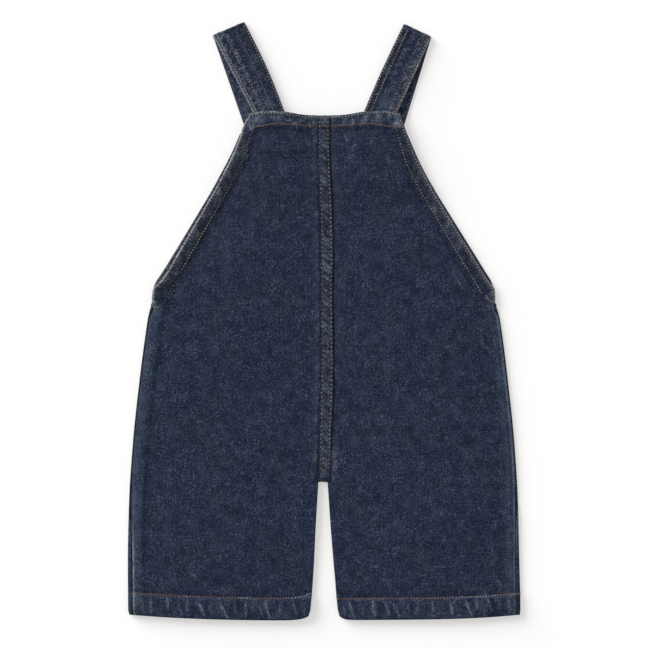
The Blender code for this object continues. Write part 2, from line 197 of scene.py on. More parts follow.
# %% Name the tables of the outline
Level = namedtuple("Level", "name height left right left_roll right_roll")
LEVELS = [Level(*row) for row in (
    ("neck corner", 162.2, -57.8, 58.9, -1.5, -1.5),
    ("strap crossing", 153.2, -62.6, 62.1, -0.8, -0.8),
    ("front appears", 146, -65, 64.5, 0, 0),
    ("high armhole", 133.3, -69.8, 69.1, 0.8, 0.8),
    ("chest", 117.7, -77.3, 76.2, 1.4, 1.2),
    ("shoulder blade", 102.1, -85.2, 84.6, 2, 1.6),
    ("mid armhole", 86.5, -94.1, 93.9, 2.4, 1.9),
    ("low armhole", 55.3, -112.5, 113.1, 2.8, 2.1),
    ("above underarm", 33, -126.7, 127, 2.8, 2.1),
    ("underarm", 24.2, -133.9, 133, -0.8, -0.8),
    ("armhole end", 14.6, -134.6, 133.7, -0.8, -0.8),
    ("side seam top", 12.4, -132.9, 132.3, 2.2, 2.2),
    ("waist", 0.7, -134.7, 134.4, 2.8, 2.8),
    ("hip", -46.1, -140.7, 140.2, 3.1, 3.1),
    ("thigh", -92.9, -145.7, 145.1, 3.1, 3.1),
    ("crotch level", -139.7, -148.8, 148, 3.1, 3.1),
    ("mid leg", -186.5, -149.8, 149.1, 3.1, 3.1),
    ("hem top", -225.5, -149.5, 149.9, 3.1, 3.1),
    ("hem edge", -229.6, -148.5, 149.5, 3.1, 3.1),
)]
SeamPoint = namedtuple("SeamPoint", "height middle")
SEAM = [SeamPoint(*row) for row in (
    (163, -0.6), (148.9, -0.5), (55.3, 1.7),
    (-32, 2.6), (-56.2, 1.6), (-93.7, 0.5),
    (-126, -0.6),
)]
LegPoint = namedtuple("LegPoint", "height left right")
LEGS = [LegPoint(*row) for row in (
    (-127.6, -4.6, 2.8), (-163.1, -6.7, 5.2), (-186.5, -7.8, 7.1),
    (-209.9, -9.3, 9.2), (-225.5, -10.8, 10.6), (-229.6, -12, 11.8),
)]
Strap = namedtuple("Strap", "name caught_left caught_right fold_left fold_right end_left end_right bows")
STRAPS = (
    Strap("left_strap", (-51.8, 155), (-28.4, 156.5), (-87.2, 223.3), (-62.3, 233.8),
          (-51.7, 121.6), (-29.4, 129.3), (0.1, 1.9)),
    Strap("right_strap", (28.4, 157), (53.3, 154.6), (62.4, 232.3), (84.1, 222),
          (29.6, 129.6), (53.2, 122.6), (-0.9, 0.2)),
)
print(f"outline: {len(LEVELS)} levels, {len(SEAM)} points of the seam, {len(LEGS)} of the legs")

# %% [markdown]
# ## Small helpers
#
# `ease` is a soft step from 0 to 1, `fall` one from 1 to 0, `band` a soft stripe, and `mix` goes from one
# value to another. `smooth_column` turns a column of a table into a smooth curve, and `cloudy` gives
# blotches, the same ones in each run.

# %% Helpers that work on arrays
SIDES = ("left", "right")


def ease(start, end, value):
    share = np.clip((value - start) / (end - start), 0, 1)
    return share * share * (3 - 2 * share)


def fall(start, end, value):
    return 1 - ease(start, end, value)


def band(value, middle, half, soft=0.5):
    """1 along a stripe, falling softly to 0 at its borders."""
    return fall(half * (1 - soft), half * (1 + soft), np.abs(value - middle))


def mix(first, second, share):
    return first + (second - first) * share


def strongest(*shares):
    return np.maximum.reduce(np.broadcast_arrays(*shares))


def smooth_column(rows, field):
    ordered = sorted(rows, key=lambda row: row.height)
    heights = np.array([row.height for row in ordered])
    values = np.array([getattr(row, field) for row in ordered])
    steps = np.diff(heights)
    slopes = np.diff(values) / steps
    tangents = np.zeros(len(values))
    for k in range(1, len(values) - 1):
        if slopes[k - 1] * slopes[k] > 0:
            tangents[k] = 2 / (1 / slopes[k - 1] + 1 / slopes[k])
    tangents[0], tangents[-1] = slopes[0], slopes[-1]

    def value_at(height):
        k = np.clip(np.searchsorted(heights, height) - 1, 0, len(steps) - 1)
        t = np.clip((height - heights[k]) / steps[k], 0, 1)
        start = (1 + 2 * t) * (1 - t) ** 2 * values[k] + t * (1 - t) ** 2 * steps[k] * tangents[k]
        end = t * t * (3 - 2 * t) * values[k + 1] + t * t * (t - 1) * steps[k] * tangents[k + 1]
        return start + end

    return value_at


def both_sides(rows, ending=""):
    return {side: smooth_column(rows, side + ending) for side in SIDES}


LATTICE = 64


def cloudy(x, y, size, seed):
    """Soft uneven blotches from 0 to 1, about size millimetres across."""
    lattice = np.random.default_rng(seed).random((LATTICE, LATTICE))
    across, up = np.asarray(x, float) / size, np.asarray(y, float) / size
    i, j = np.floor(across).astype(int), np.floor(up).astype(int)
    u, v = across - i, up - j
    u, v = u * u * (3 - 2 * u), v * v * (3 - 2 * v)
    left, right = i % LATTICE, (i + 1) % LATTICE
    below, above = j % LATTICE, (j + 1) % LATTICE
    low = mix(lattice[below, left], lattice[below, right], u)
    high = mix(lattice[above, left], lattice[above, right], u)
    return mix(low, high, v)


print("a soft step, a quarter of the way along:", ease(0.0, 1.0, 0.25))

# %% [markdown]
# The tables become curves. `across_panel` says how far across its panel a point lies: 0 at the centre seam,
# or below the crotch at the gap between the legs, and 1 at the side.

# %% Turn the outline into curves
EDGE = both_sides(LEVELS)
ROLL = both_sides(LEVELS, "_roll")
SEAM_MIDDLE = smooth_column(SEAM, "middle")
LEG = both_sides(LEGS)
SIGN = {"left": -1, "right": 1}
GAP_TOP = -125.7
DRAW_IN = 9


def inner_edge(side, height):
    seam = SEAM_MIDDLE(height) + SIGN[side] * SEAM_GAP / 2
    return np.where(height < GAP_TOP, LEG[side](height), seam)


def back_inner_edge(side, height):
    share = ease(GAP_TOP, GAP_TOP + DRAW_IN, height)
    return mix(LEG[side](height), SEAM_MIDDLE(height) + SIGN[side] * SEAM_GAP / 2, share)


def across_panel(side, x, y):
    inner, outer = inner_edge(side, y), EDGE[side](y)
    return np.clip((x - inner) / (outer - inner), 0, 1)


print(f"width over both legs at mid leg: {float(EDGE['right'](-186.5) - EDGE['left'](-186.5)):.1f} mm")

# %% [markdown]
# The seam band was sewn by eye, so each of its sides strays from an even course. The table holds both, in
# millimetres to the right. `band_x` and `band_off` change between a place on the cloth and a distance from
# the band's middle, so a stitch line stays inside the band.

# %% Follow the sway of the seam band
Sway = namedtuple("Sway", "height left right")
SWAYS = [Sway(*row) for row in (
    (147, 0.3, 0.3), (132, 0.1, 0.1), (116, 0.15, 0.25),
    (100, 0.4, 0.6), (77, 0.5, 0.7), (54, 0.1, 0.6),
    (38, -0.2, 0.3), (22, -0.55, -0.15), (7, -0.6, -0.15),
    (-24, -0.55, 0.00), (-40, -0.4, 0.15), (-55, -0.05, 0.75),
    (-71, 0.2, 0.65), (-87, 0.5, 0.4), (-102, 0.6, 0.6),
    (-120, 0.7, 0.6),
)]
SWAY = both_sides(SWAYS)
STITCH_LINES_APART = 6.55


def band_middle(height):
    return SEAM_MIDDLE(height) + (SWAY["left"](height) + SWAY["right"](height)) / 2


def band_stretch(height):
    return 1 + (SWAY["right"](height) - SWAY["left"](height)) / STITCH_LINES_APART


def band_x(off, height):
    return band_middle(height) + off * band_stretch(height)


def band_off(x, height):
    return (x - band_middle(height)) / band_stretch(height)


print(f"the band's middle sways by {float(np.ptp(band_middle(np.linspace(-120.0, 147.0, 90)))):.1f} mm")

# %% [markdown]
# The front is a little wider than the back, so a narrow strip of it shows beside the back's edge. The table
# says how far that edge reaches over the front's side, and `PROUD` how much further the front's roll stands
# out here than in the plain model.

# %% Place the edge of the back
Reach = namedtuple("Reach", "height left right")
REACHES = [Reach(*row) for row in (
    (150, 0.1, 0.2), (125, 0.2, 0.6), (86, 0.8, 0.8),
    (56, 0.6, 0.6), (36, -0.2, 0.4), (25, -0.1, 0.2),
    (16, 0, 0), (9, 0.3, 0.3), (2, 1.7, 1.8),
    (-62, 2, 2), (-116, 1.9, 1.8), (-134, 1.3, 1.3),
    (-160, 1, 0.9), (-190, 0.1, 0.3), (-232, 0, 0),
)]
REACH = both_sides(REACHES)
PROUD = {"left": 0.5, "right": 0.3}


def back_edge(side, height):
    return EDGE[side](height) + SIGN[side] * REACH[side](height)


def edge_slope(side, y):
    """How much shorter a distance square to the edge is than the distance along x."""
    slope = (EDGE[side](y + 1) - EDGE[side](y - 1)) / 2
    return 1 / np.sqrt(1 + slope * slope)


print(f"beside the armhole, 1 mm along x is {float(edge_slope('left', 60.0)):.2f} mm square to it")

# %% [markdown]
# The neck edge dips in the middle and lifts beside the straps, and the hems sag between rounded corners.
# Both are shifts up or down, given by how far across its panel a point lies, so a grid's level rows can be
# bent to follow them.

# %% Bend the neck edge and the hems
def neck_shift(u):
    lift = NECK_LIFT * ease(0.22, 0.58, u) * fall(0.8, 1, u)
    return lift - NECK_DIP * (1 - u)


def hem_shift(side, u):
    rounded = 1 - np.exp(-u / HEM_CORNER[side])
    return -HEM_BELLY[side] * (1 - u ** HEM_POWER[side]) * rounded - HEM_DIP * (1 - u)


def hem_edge(side, x):
    outer, inner = EDGE[side](HEM_HEIGHT), LEG[side](HEM_HEIGHT)
    return HEM_HEIGHT + hem_shift(side, np.clip((x - inner) / (outer - inner), 0, 1))


print(f"the left hem sags to {float(hem_edge('left', -80.0)):.1f} mm")

# %% [markdown]
# ## How the cloth lies
#
# The front panels lie flat on the table, with their sides rolled up and over, and the back panels lie on
# them. These functions give the heights of the plain model: the bib lifted over the strap ends, faced edges
# and hems thicker, and the back puffed up a little.

# %% The heights of the plain cloth
def run_rise(y):
    """How far a strap's hidden run is lifted off the table by the button under its end."""
    return (BUTTON_HEIGHT + SEAM_GAP) * fall(RUN_LOWERED_START, RUN_LOWERED_END, y)


def front_lift(x, y):
    stack = run_rise(y) + STRAP_WALL + SEAM_GAP
    outside = 1 - BIB_OUTER_DROP * ease(BIB_OUTER_START, BIB_OUTER_END, np.abs(x))
    between = 1 - BIB_MIDDLE_DROP * fall(BIB_MIDDLE_START, BIB_MIDDLE_END, np.abs(x))
    return stack * outside * between * ease(BIB_FLAT_HEIGHT, STRAP_END_HEIGHT - 3, y)


def worked_wall(from_edge, from_neck, from_hem, y, reach=0):
    faced = fall(FACING_WIDTH + reach, FACING_WIDTH + reach + STEP_RUN, from_neck)
    armhole = fall(FACING_WIDTH + reach, FACING_WIDTH + reach + STEP_RUN, 0.87 * from_edge)
    armhole = armhole * ease(SEAM_ROLLED, UNDERARM - 6, y)
    hemmed = fall(HEM_DEPTH, HEM_DEPTH + STEP_RUN, from_hem)
    return WALL + (FACED_WALL - WALL) * np.maximum(faced, armhole) + (HEM_WALL - WALL) * hemmed


def front_wall(side, x, y, reach=0):
    edge = EDGE[side](y) + SIGN[side] * ROLL[side](y)
    neck = BIB_HEIGHT + neck_shift(0)
    return worked_wall(np.abs(edge - x), neck - y, y - hem_edge(side, x), y, reach)


def back_wall(side, x, y, from_edge):
    neck = NECK_HEIGHT + neck_shift(0)
    wall = worked_wall(from_edge, neck - y, y - hem_edge(side, x), y)
    ridge = ease(0, 2, from_edge) * fall(7, 10, from_edge)
    return wall + ALLOWANCE_RISE * ridge * fall(SEAM_ROLLED, SEAM_TOP, y)


def ripple(side, x, y):
    above = y - hem_edge(side, x)
    strength = fall(HEM_DEPTH * 0.8, HEM_DEPTH * 2.2, above) * ease(-2, 5, above)
    along = x + 0.4 * above + 3 * np.sin(x / 17)
    wave = 0.5 + 0.5 * np.sin(2 * np.pi * along / RIPPLE_SPACING)
    return RIPPLE_HEIGHT * strength * wave * (0.65 + 0.35 * np.sin(x / 9 + 1))


def puff(side, x, y):
    u = across_panel(side, x, y)
    across = PUFF_MIDDLE * fall(0.72, 1, u) + PUFF_PANEL * np.sin(np.pi * u) ** 2
    slow = 1 + 0.25 * np.sin(y / 31 + 2 * u) + 0.12 * np.sin(y / 13 - x / 19)
    return across * slow * mix(0.35, 1, ease(0, 70, y - hem_edge(side, x)))


def plain_back(side, x, y):
    """The height of the back's outer face, and the thickness of its wall."""
    from_edge = np.abs(EDGE[side](y) - x)
    wall = back_wall(side, x, y, from_edge)
    under = front_lift(x, y) + front_wall(side, x, y, reach=3 * ease(0, 4, from_edge))
    from_seam = np.abs(x - SEAM_MIDDLE(y))
    sink = FELL_SINK * fall(FELL_WIDTH / 2 + 0.4, FELL_WIDTH / 2 + 2.2, from_seam)
    sink = sink * ease(CROTCH - 3, CROTCH, y)
    return under + LAYER_GAP + wall + puff(side, x, y) + ripple(side, x, y) - sink, wall


print(f"the plain back lies {float(plain_back('left', -60.0, 0.0)[0]):.1f} mm above the table at the waist")

# %% [markdown]
# ## Puckers and creases
#
# A sewn edge shrinks in the wash and draws the cloth up beside the thread into short slanted puckers. Each
# hem pucker is listed one by one, because even ones look machined. Puckers and creases are heights added
# to the plain cloth, and the fading follows the same heights, since what rises is rubbed.

# %% Place the hem puckers
Pucker = namedtuple("Pucker", "x lean width low high rise")
HEM_PUCKERS = [Pucker(*row) for row in (
    (-141.5, 0.15, 3.4, 1, 15, 0.3), (-135, 0.05, 2.6, 2, 14.5, 0.34),
    (-121.6, 0.1, 1.9, 6, 18.5, 0.42), (-112.4, 0.35, 2.4, 2, 13, 0.3),
    (-107, -0.1, 2, 5, 17.5, 0.34), (-95.5, 0.45, 2.2, 1.5, 13.8, 0.46),
    (-88.2, 0.1, 2.8, 3, 12, 0.26), (-78.5, 0.52, 1.8, 1, 14, 0.52),
    (-69, 0.2, 2.7, 4, 17, 0.28), (-61, 0.05, 2.1, 1.5, 15, 0.44),
    (-49.5, 0.38, 2.5, 2.5, 13.5, 0.3), (-44.2, 0.3, 1.9, 1, 14.5, 0.46),
    (-34, -0.12, 2.8, 4, 16, 0.28), (-22.5, 0.25, 2.3, 2, 14, 0.36),
    (-15.5, 0.1, 2.2, 2, 12.5, 0.26), (15.8, 0.15, 2.6, 2, 12, 0.26),
    (21.4, 0.3, 2.2, 1.5, 15, 0.42), (30.5, -0.15, 2.4, 3.5, 14, 0.28),
    (39, 0.12, 3.2, 2, 18, 0.4), (49.8, 0.34, 2, 3, 16.5, 0.36),
    (56.5, 0.42, 2.3, 1.5, 14, 0.4), (66, 0.08, 2, 4, 13, 0.3),
    (72.5, -0.2, 2.6, 2, 12, 0.3), (85.3, 0.12, 2, 5.5, 15, 0.44),
    (99.6, 0.16, 2.1, 3, 14.5, 0.46), (113, 0.42, 1.9, 1, 14, 0.42),
    (119.5, 0.1, 2.2, 6, 15, 0.4), (129.8, 0.34, 1.8, 4, 22, 0.46),
    (137, 0.05, 3, 5, 14.5, 0.3), (144.5, 0.12, 2.6, 2, 13.5, 0.34),
)]
PUCKER_SPREAD = 0.55


def hem_puckers(side, x, y):
    above = y - hem_edge(side, x)
    rise = np.zeros(np.shape(x))
    for pucker in HEM_PUCKERS:
        middle = pucker.x - pucker.lean * (above - HEM_DEPTH / 2)
        along = ease(pucker.low - 2, pucker.low + 2, above)
        along = along * fall(pucker.high - 3, pucker.high + 2, above)
        rise = rise + pucker.rise * along * np.exp(-((x - middle) / (pucker.width * PUCKER_SPREAD)) ** 2)
    return rise


print("hem puckers:", len(HEM_PUCKERS))

# %% [markdown]
# The soft creases left by folding are placed in the same way. A positive rise makes a ridge and a negative
# one a trough. The hidden front gets only troughs, because it rests on the table.

# %% Place the creases
Crease = namedtuple("Crease", "x y reach lean width rise")
BACK_CREASES = [Crease(*row) for row in (
    (-59.5, 127.5, 8, -42, 1.6, 0.3), (-56, 121, 13, -8, 3, -0.32),
    (-50, 118, 12, -10, 2.2, 0.24), (-66, 104, 9, -30, 2, 0.22),
    (-53.5, 92, 16, -14, 3.4, -0.26), (-21, 151, 6, 20, 1.5, 0.26),
    (22.5, 155, 12, 0, 1.8, 0.34), (17.2, 142, 8, 40, 1.6, 0.3),
    (12, 136, 12, 12, 3, -0.3), (-12.5, 139, 10, 24, 1.8, 0.24),
    (37, 140, 9, -18, 1.7, 0.24), (50, 126, 12, 22, 2.4, 0.24),
    (66.5, 92, 11, 35, 2.6, 0.22), (84, 72.5, 8, 24, 1.8, 0.26),
    (104.5, 31.5, 18, 36, 1.7, 0.36), (96, 22, 12, 30, 2.8, -0.24),
    (121, -6, 11, 60, 2, 0.24), (128, -22, 10, 52, 1.8, 0.24),
    (126, -52, 12, 48, 2.1, 0.22), (-124, -10, 9, 44, 2, 0.22),
    (-119, -36, 12, -34, 2.2, 0.2), (-128.5, -66, 10, 30, 2, 0.24),
    (-104, 12, 14, -48, 3, -0.2), (-92, -58, 16, -30, 2.8, 0.18),
    (-71, -96, 13, -38, 2.2, 0.2), (-40, -70, 12, 26, 2.4, 0.18),
    (-101.5, -199, 11, 42, 1.5, 0.36), (-94, -205, 8, 46, 1.4, 0.3),
    (-134, -176, 12, 38, 1.8, 0.24), (-127, -206, 9, 30, 1.9, 0.26),
    (-116, -206, 7, -32, 1.7, 0.24), (-60, -190, 12, -25, 2.4, 0.18),
    (-37, -180, 12, 32, 2.2, 0.18), (-22, -205, 10, -6, 2, 0.22),
    (26, -196, 11, 18, 2, 0.24), (48, -203, 14, 68, 2.8, 0.26),
    (76, -186, 12, -28, 2.2, 0.2), (92, -200, 13, 74, 2.4, 0.24),
    (109, -178, 12, 22, 2, 0.22), (137, -205, 9, 28, 1.5, 0.4),
    (134, -186, 8, -40, 1.8, 0.24), (141, -150, 10, 62, 1.8, 0.24),
    (138, -118, 10, 52, 1.9, 0.22), (70, -132, 16, -24, 3, -0.2),
    (104, -96, 15, 28, 2.8, 0.18), (54, -64, 14, 34, 2.4, 0.18),
    (34, 22, 13, -22, 2.6, 0.18), (-30, 44, 13, 28, 2.6, 0.18),
)]
FRONT_CREASES = [Crease(*row) for row in (
    (-60, 112, 12, -30, 2.6, -0.26), (-31, 96, 14, 24, 3, -0.22),
    (24, 104, 16, -20, 2.8, -0.26), (62, 88, 12, 30, 2.4, -0.24),
    (-104, 30, 14, -40, 2.6, -0.26), (101, 34, 13, 38, 2.4, -0.24),
    (-82, -12, 15, 52, 3.2, -0.22), (77, -26, 17, -46, 3, -0.24),
    (-118, -64, 12, 30, 2.4, -0.26), (121, -70, 12, -34, 2.2, -0.24),
    (-46, -88, 15, -24, 3, -0.2), (43, -104, 14, 28, 2.8, -0.22),
    (-99, -140, 14, 36, 2.8, -0.24), (102, -150, 15, -30, 2.8, -0.24),
    (-56, -188, 12, 20, 2.2, -0.26), (58, -196, 12, 34, 2.4, -0.24),
    (-128, -200, 11, -28, 2, -0.28), (131, -198, 10, 24, 2, -0.26),
)]
CREASE_SPREAD = 0.6
CREASE_BEND = 0.012


def crease_rise(creases, x, y):
    rise = np.zeros(np.shape(x))
    for crease in creases:
        turn = math.radians(crease.lean)
        dx, dy = x - crease.x, y - crease.y
        along = -dx * math.sin(turn) + dy * math.cos(turn)
        off = dx * math.cos(turn) + dy * math.sin(turn)
        bend = off + CREASE_BEND * along * along
        shape = np.exp(-(bend / (crease.width * CREASE_SPREAD)) ** 2)
        rise = rise + crease.rise * (shape * np.exp(-(along / (crease.reach * CREASE_SPREAD)) ** 2))
    return rise


print("creases:", len(BACK_CREASES), "on the back and", len(FRONT_CREASES), "on the front")

# %% [markdown]
# Beside the facings and the centre seam the puckers are smaller and too many to place one by one. Three
# sine waves of unlike lengths are added, so that their peaks come unevenly.

# %% Pucker the seams and facings
PuckerRow = namedtuple("PuckerRow", "spacing start rise")
SEAM_PUCKERS = {"left": PuckerRow(8, 1, 0.3), "right": PuckerRow(10.5, 3, 0.18)}
FACING_PUCKERS = {"left": PuckerRow(7.5, 2, 0.34), "right": PuckerRow(7.5, 4.4, 0.34)}
NECK_PUCKERS = PuckerRow(8.6, 0.4, 0.36)


def uneven_wave(distance, spacing, start):
    first = np.sin(2 * np.pi * distance / spacing + start)
    second = np.sin(2 * np.pi * distance / (spacing * 1.83) + 2.3 * start)
    third = np.sin(2 * np.pi * distance / (spacing * 4.7) + 0.7 * start)
    return np.clip(0.5 + 0.3 * first + 0.28 * second + 0.16 * third, 0, 1)


def seam_puckers(side, x, y):
    """They stand highest on the left, where the turnings lie beneath."""
    kind = SEAM_PUCKERS[side]
    off = (x - SEAM_MIDDLE(y)) * SIGN[side]
    waves = uneven_wave(y + 0.7 * off, kind.spacing, kind.start)
    beside = band(off, 6.6, 2.4, 0.7) * ease(CROTCH + 6, CROTCH + 16, y)
    waves = waves * (0.4 + 1.2 * cloudy(x, y, 9, 31))
    return kind.rise * beside * (0.3 + 0.7 * waves)


def facing_puckers(side, x, y):
    kind = FACING_PUCKERS[side]
    in_from_edge = np.abs(EDGE[side](y) - x) * edge_slope(side, y)
    waves = uneven_wave(y + 1.1 * in_from_edge, kind.spacing, kind.start)
    zone = band(in_from_edge, 5, 4.2, 0.4) * ease(SEAM_TOP + 4, UNDERARM + 6, y)
    return kind.rise * zone * waves * (0.2 + 1.3 * cloudy(x, y, 6, 33))


def neck_puckers(x, from_neck):
    waves = uneven_wave(x + 0.5 * from_neck, NECK_PUCKERS.spacing, NECK_PUCKERS.start)
    share = 0.2 + 1.3 * cloudy(x, from_neck, 7, 32)
    return NECK_PUCKERS.rise * band(from_neck, 6.5, 4.8, 0.5) * waves * share


sample = uneven_wave(np.linspace(0, 100, 400), NECK_PUCKERS.spacing, NECK_PUCKERS.start)
print(f"an uneven wave runs from {sample.min():.2f} to {sample.max():.2f}")

# %% [markdown]
# ## Stitch lines
#
# Thread pulls the cloth down, so each stitch line runs in a shallow groove. The grooves, the shading and
# the thread itself all use these distances, measured square to the edge that a line follows.

# %% Name the stitch lines
ARMHOLE_INNER = 9.2
ARMHOLE_INNER_HIGH = 7.2
ARMHOLE_OUTER = 1.7
NECK_UPPER = 1.9
NECK_LOWER_HEIGHT = 152.3
NECK_LOWER_RISE = 1.5
HEM_LINE = {"left": 17, "right": 16.4}
FELL_LINE = {"left": -3.25, "right": 3.3}
GROOVE = 0.28


def armhole_inner_line(y):
    return mix(ARMHOLE_INNER, ARMHOLE_INNER_HIGH, ease(118, 150, y))


def neck_line_height(x):
    return NECK_LOWER_HEIGHT + NECK_LOWER_RISE * ease(12, 38, np.abs(x))


def stitch_grooves(side, x, y, from_edge, from_hem):
    armhole = ease(SEAM_TOP, SEAM_TOP + 6, y) * fall(146, 152, y)
    return GROOVE * strongest(band(from_edge, armhole_inner_line(y), 0.8, 0.6) * armhole,
                              band(y, neck_line_height(x), 0.8, 0.6) * fall(52, 55, np.abs(x)),
                              band(from_hem, HEM_LINE[side], 0.9, 0.6))


print(f"lower neck line: {NECK_HEIGHT - float(neck_line_height(0.0)):.1f} mm below the neck's height")

# %% [markdown]
# The finished back is the plain one with its puckers and creases added and its grooves taken away. They die
# out towards the panel's stiff edges. The same function later places each stitch that lies on the back.

# %% Find the height of the finished back
def back_distances(side, x, y):
    from_edge = np.abs(back_edge(side, y) - x) * edge_slope(side, y)
    from_neck = NECK_HEIGHT + neck_shift(across_panel(side, x, np.full(np.shape(y), NECK_HEIGHT))) - y
    return from_edge, from_neck, y - hem_edge(side, x)


def back_relief(side, x, y):
    from_edge, from_neck, from_hem = back_distances(side, x, y)
    rise = (hem_puckers(side, x, y) + crease_rise(BACK_CREASES, x, y) + seam_puckers(side, x, y)
            + facing_puckers(side, x, y) + neck_puckers(x, from_neck))
    edge_calm = ease(0, 2.5, from_edge) * ease(0, 2, from_neck) * ease(-0.5, 2, from_hem)
    return rise * edge_calm - stitch_grooves(side, x, y, from_edge, from_hem)


def back_height(side, x, y):
    plain, _ = plain_back(side, x, y)
    return plain + back_relief(side, x, y)


crest = back_relief("left", np.array([-78.5]), np.array([-226]))
print(f"a hem pucker stands {float(crest[0]):.2f} mm proud of the plain cloth")

# %% [markdown]
# ## The denim finish
#
# Indigo twill has a pale weft and a dark warp that is dyed only on its surface, so washing leaves pale
# flecks, and rubbed places go pale. One node group serves every piece of cloth. It reads where a point lies
# in the cloth, and the piece's own numbers: `fade` for what is rubbed, `shade` for darkening, partly darker
# cloth and partly painted shade in hollows and folds, `teal` for greener wash, `grey` for rubbing that lost
# its blue, and `edge`, `rim` and `twin` for the lines along a turned edge.

# %% Helpers for nodes
def add_node(tree, kind, **settings):
    made = tree.nodes.new(kind)
    for name, value in settings.items():
        setattr(made, name, value)
    return made


def feed(tree, node, values):
    """Sets inputs of a node, each to a value or to another node's output."""
    for key, value in values.items():
        if isinstance(value, bpy.types.NodeSocket):
            tree.links.new(value, node.inputs[key])
        elif value is not None:
            node.inputs[key].default_value = value
    return node


def calculate(tree, operation, first, second=None, third=None, clamp=False):
    made = add_node(tree, "ShaderNodeMath", operation=operation, use_clamp=clamp)
    return feed(tree, made, {0: first, 1: second, 2: third}).outputs[0]


def product(tree, *values):
    result = values[0]
    for value in values[1:]:
        result = calculate(tree, "MULTIPLY", result, value)
    return result


def plus_shares(tree, total, *pairs):
    for value, share in pairs:
        total = calculate(tree, "MULTIPLY_ADD", value, share, total)
    return total


def centred(tree, value):
    return calculate(tree, "SUBTRACT", value, 0.5)


def noise(tree, vector, scale, detail=2, roughness=0.5, distortion=0):
    values = {"Vector": vector, "Scale": scale, "Detail": detail, "Roughness": roughness,
              "Distortion": distortion}
    return feed(tree, add_node(tree, "ShaderNodeTexNoise"), values).outputs["Fac"]


def stretch(tree, vector, scale, turn=0):
    values = {"Vector": vector, "Scale": scale, "Rotation": (0, 0, math.radians(turn))}
    return feed(tree, add_node(tree, "ShaderNodeMapping"), values).outputs["Vector"]


def remap(tree, value, low, high, to_low=0, to_high=1):
    made = add_node(tree, "ShaderNodeMapRange", interpolation_type="SMOOTHSTEP")
    values = {"Value": value, "From Min": low, "From Max": high, "To Min": to_low, "To Max": to_high}
    return feed(tree, made, values).outputs["Result"]


def stripe(tree, value, rise, fall_off):
    return product(tree, remap(tree, value, *rise), remap(tree, value, *fall_off, 1, 0))


def blend_colour(tree, share, first, second, kind="MIX"):
    made = add_node(tree, "ShaderNodeMix", data_type="RGBA", blend_type=kind)
    first, second = ((*value, 1) if isinstance(value, tuple) else value for value in (first, second))
    return feed(tree, made, {0: share, 6: first, 7: second}).outputs[2]


def new_material(name):
    made = bpy.data.materials.new(name)
    made.use_nodes = True
    return made, made.node_tree, made.node_tree.nodes["Principled BSDF"]


def point_number(tree, name):
    return add_node(tree, "ShaderNodeAttribute", attribute_name=name).outputs["Fac"]


def bump(tree, height, distance):
    made = feed(tree, add_node(tree, "ShaderNodeBump"), {"Height": height, "Distance": distance})
    return made.outputs["Normal"]


print("kinds of shader nodes:", sum(kind.startswith("ShaderNode") for kind in dir(bpy.types)))

# %% [markdown]
# Each colour is named as it should look on the screen, from 0 to 255. `linear` turns it into paint, since a
# screen's numbers aren't in proportion to light, and the light here brightens every paint a little.

# %% Mix the colours
LIGHT_ON_CLOTH = 1.13


def linear(red, green, blue):
    def paint_for(value):
        value = value / 255
        light = value / 12.92 if value <= 0.04045 else ((value + 0.055) / 1.055) ** 2.4
        return light / LIGHT_ON_CLOTH
    return (paint_for(red), paint_for(green), paint_for(blue))


INDIGO = linear(14, 22.5, 49)
INDIGO_TEAL = linear(12.5, 25.5, 46.5)
INDIGO_LIGHT = linear(80, 91, 117)
RUBBED = linear(154, 163, 176)
RUBBED_GREY = linear(158, 159, 162)
TEAL_DEEP = linear(22, 38, 54)
TEAL_LIGHT = linear(84, 106, 122)
print("deep indigo as paint:", [round(value, 4) for value in INDIGO])

# %% [markdown]
# A turned edge is rubbed in a crisp line, on some edges with a finer twin inside it, and fine streaks run
# in from the line, square to the armhole. They are mirrored at the middle of the cloth, so one drawing
# serves both sides.

# %% Draw the rubbed line of an edge
RIM_GRAIN = 1.5 * MM
RIM_LINE = ((0.1, 0.5), (1.25, 2.1))
TWIN_LINE = ((2.5, 2.85), (3.2, 3.6))
STREAK_REACH = ((1.2, 1.8), (2.5, 6.5))
STREAK_SHARE = 0.36
STREAK_SIZE = (1.3 * MM, 7 * MM)
ARMHOLE_TURN = 61.3


def edge_streaks(group, place):
    parts = feed(group, add_node(group, "ShaderNodeSeparateXYZ"), {0: place}).outputs
    mirrored = feed(group, add_node(group, "ShaderNodeCombineXYZ"),
                    {"X": calculate(group, "ABSOLUTE", parts["X"]), "Y": parts["Y"]})
    across = stretch(group, mirrored.outputs[0], (1, 1, 1), ARMHOLE_TURN)
    across = stretch(group, across, (1 / STREAK_SIZE[0], 1 / STREAK_SIZE[1], 1))
    return remap(group, noise(group, across, 1, 1), 0.52, 0.7)


def rubbed_rim(group, start):
    place = start.outputs["Place"]
    jitter = centred(group, noise(group, place, 1 / RIM_GRAIN, 1))
    edge = calculate(group, "MULTIPLY_ADD", jitter, 1, start.outputs["Edge"])
    bright = remap(group, noise(group, place, 1 / RIM_GRAIN, 2), 0.34, 0.62, 0.42, 1.2)
    line = product(group, stripe(group, edge, *RIM_LINE), bright, start.outputs["Rim"])
    twin = product(group, stripe(group, edge, *TWIN_LINE), bright, start.outputs["Twin"])
    reach = stripe(group, edge, *STREAK_REACH)
    streaks = product(group, edge_streaks(group, place), reach, start.outputs["Rim"], STREAK_SHARE)
    return calculate(group, "MAXIMUM", calculate(group, "MAXIMUM", line, twin), streaks)


print(f"a rubbed line lies {RIM_LINE[0][0]} to {RIM_LINE[1][1]} mm inside its edge")

# %% [markdown]
# The weave comes from noise of several sizes, since an image of cloth would repeat. The curling lines where
# a noise crosses its middle value make the short pale flecks, and a wave texture, turned to the twill's
# lean, makes the twill.

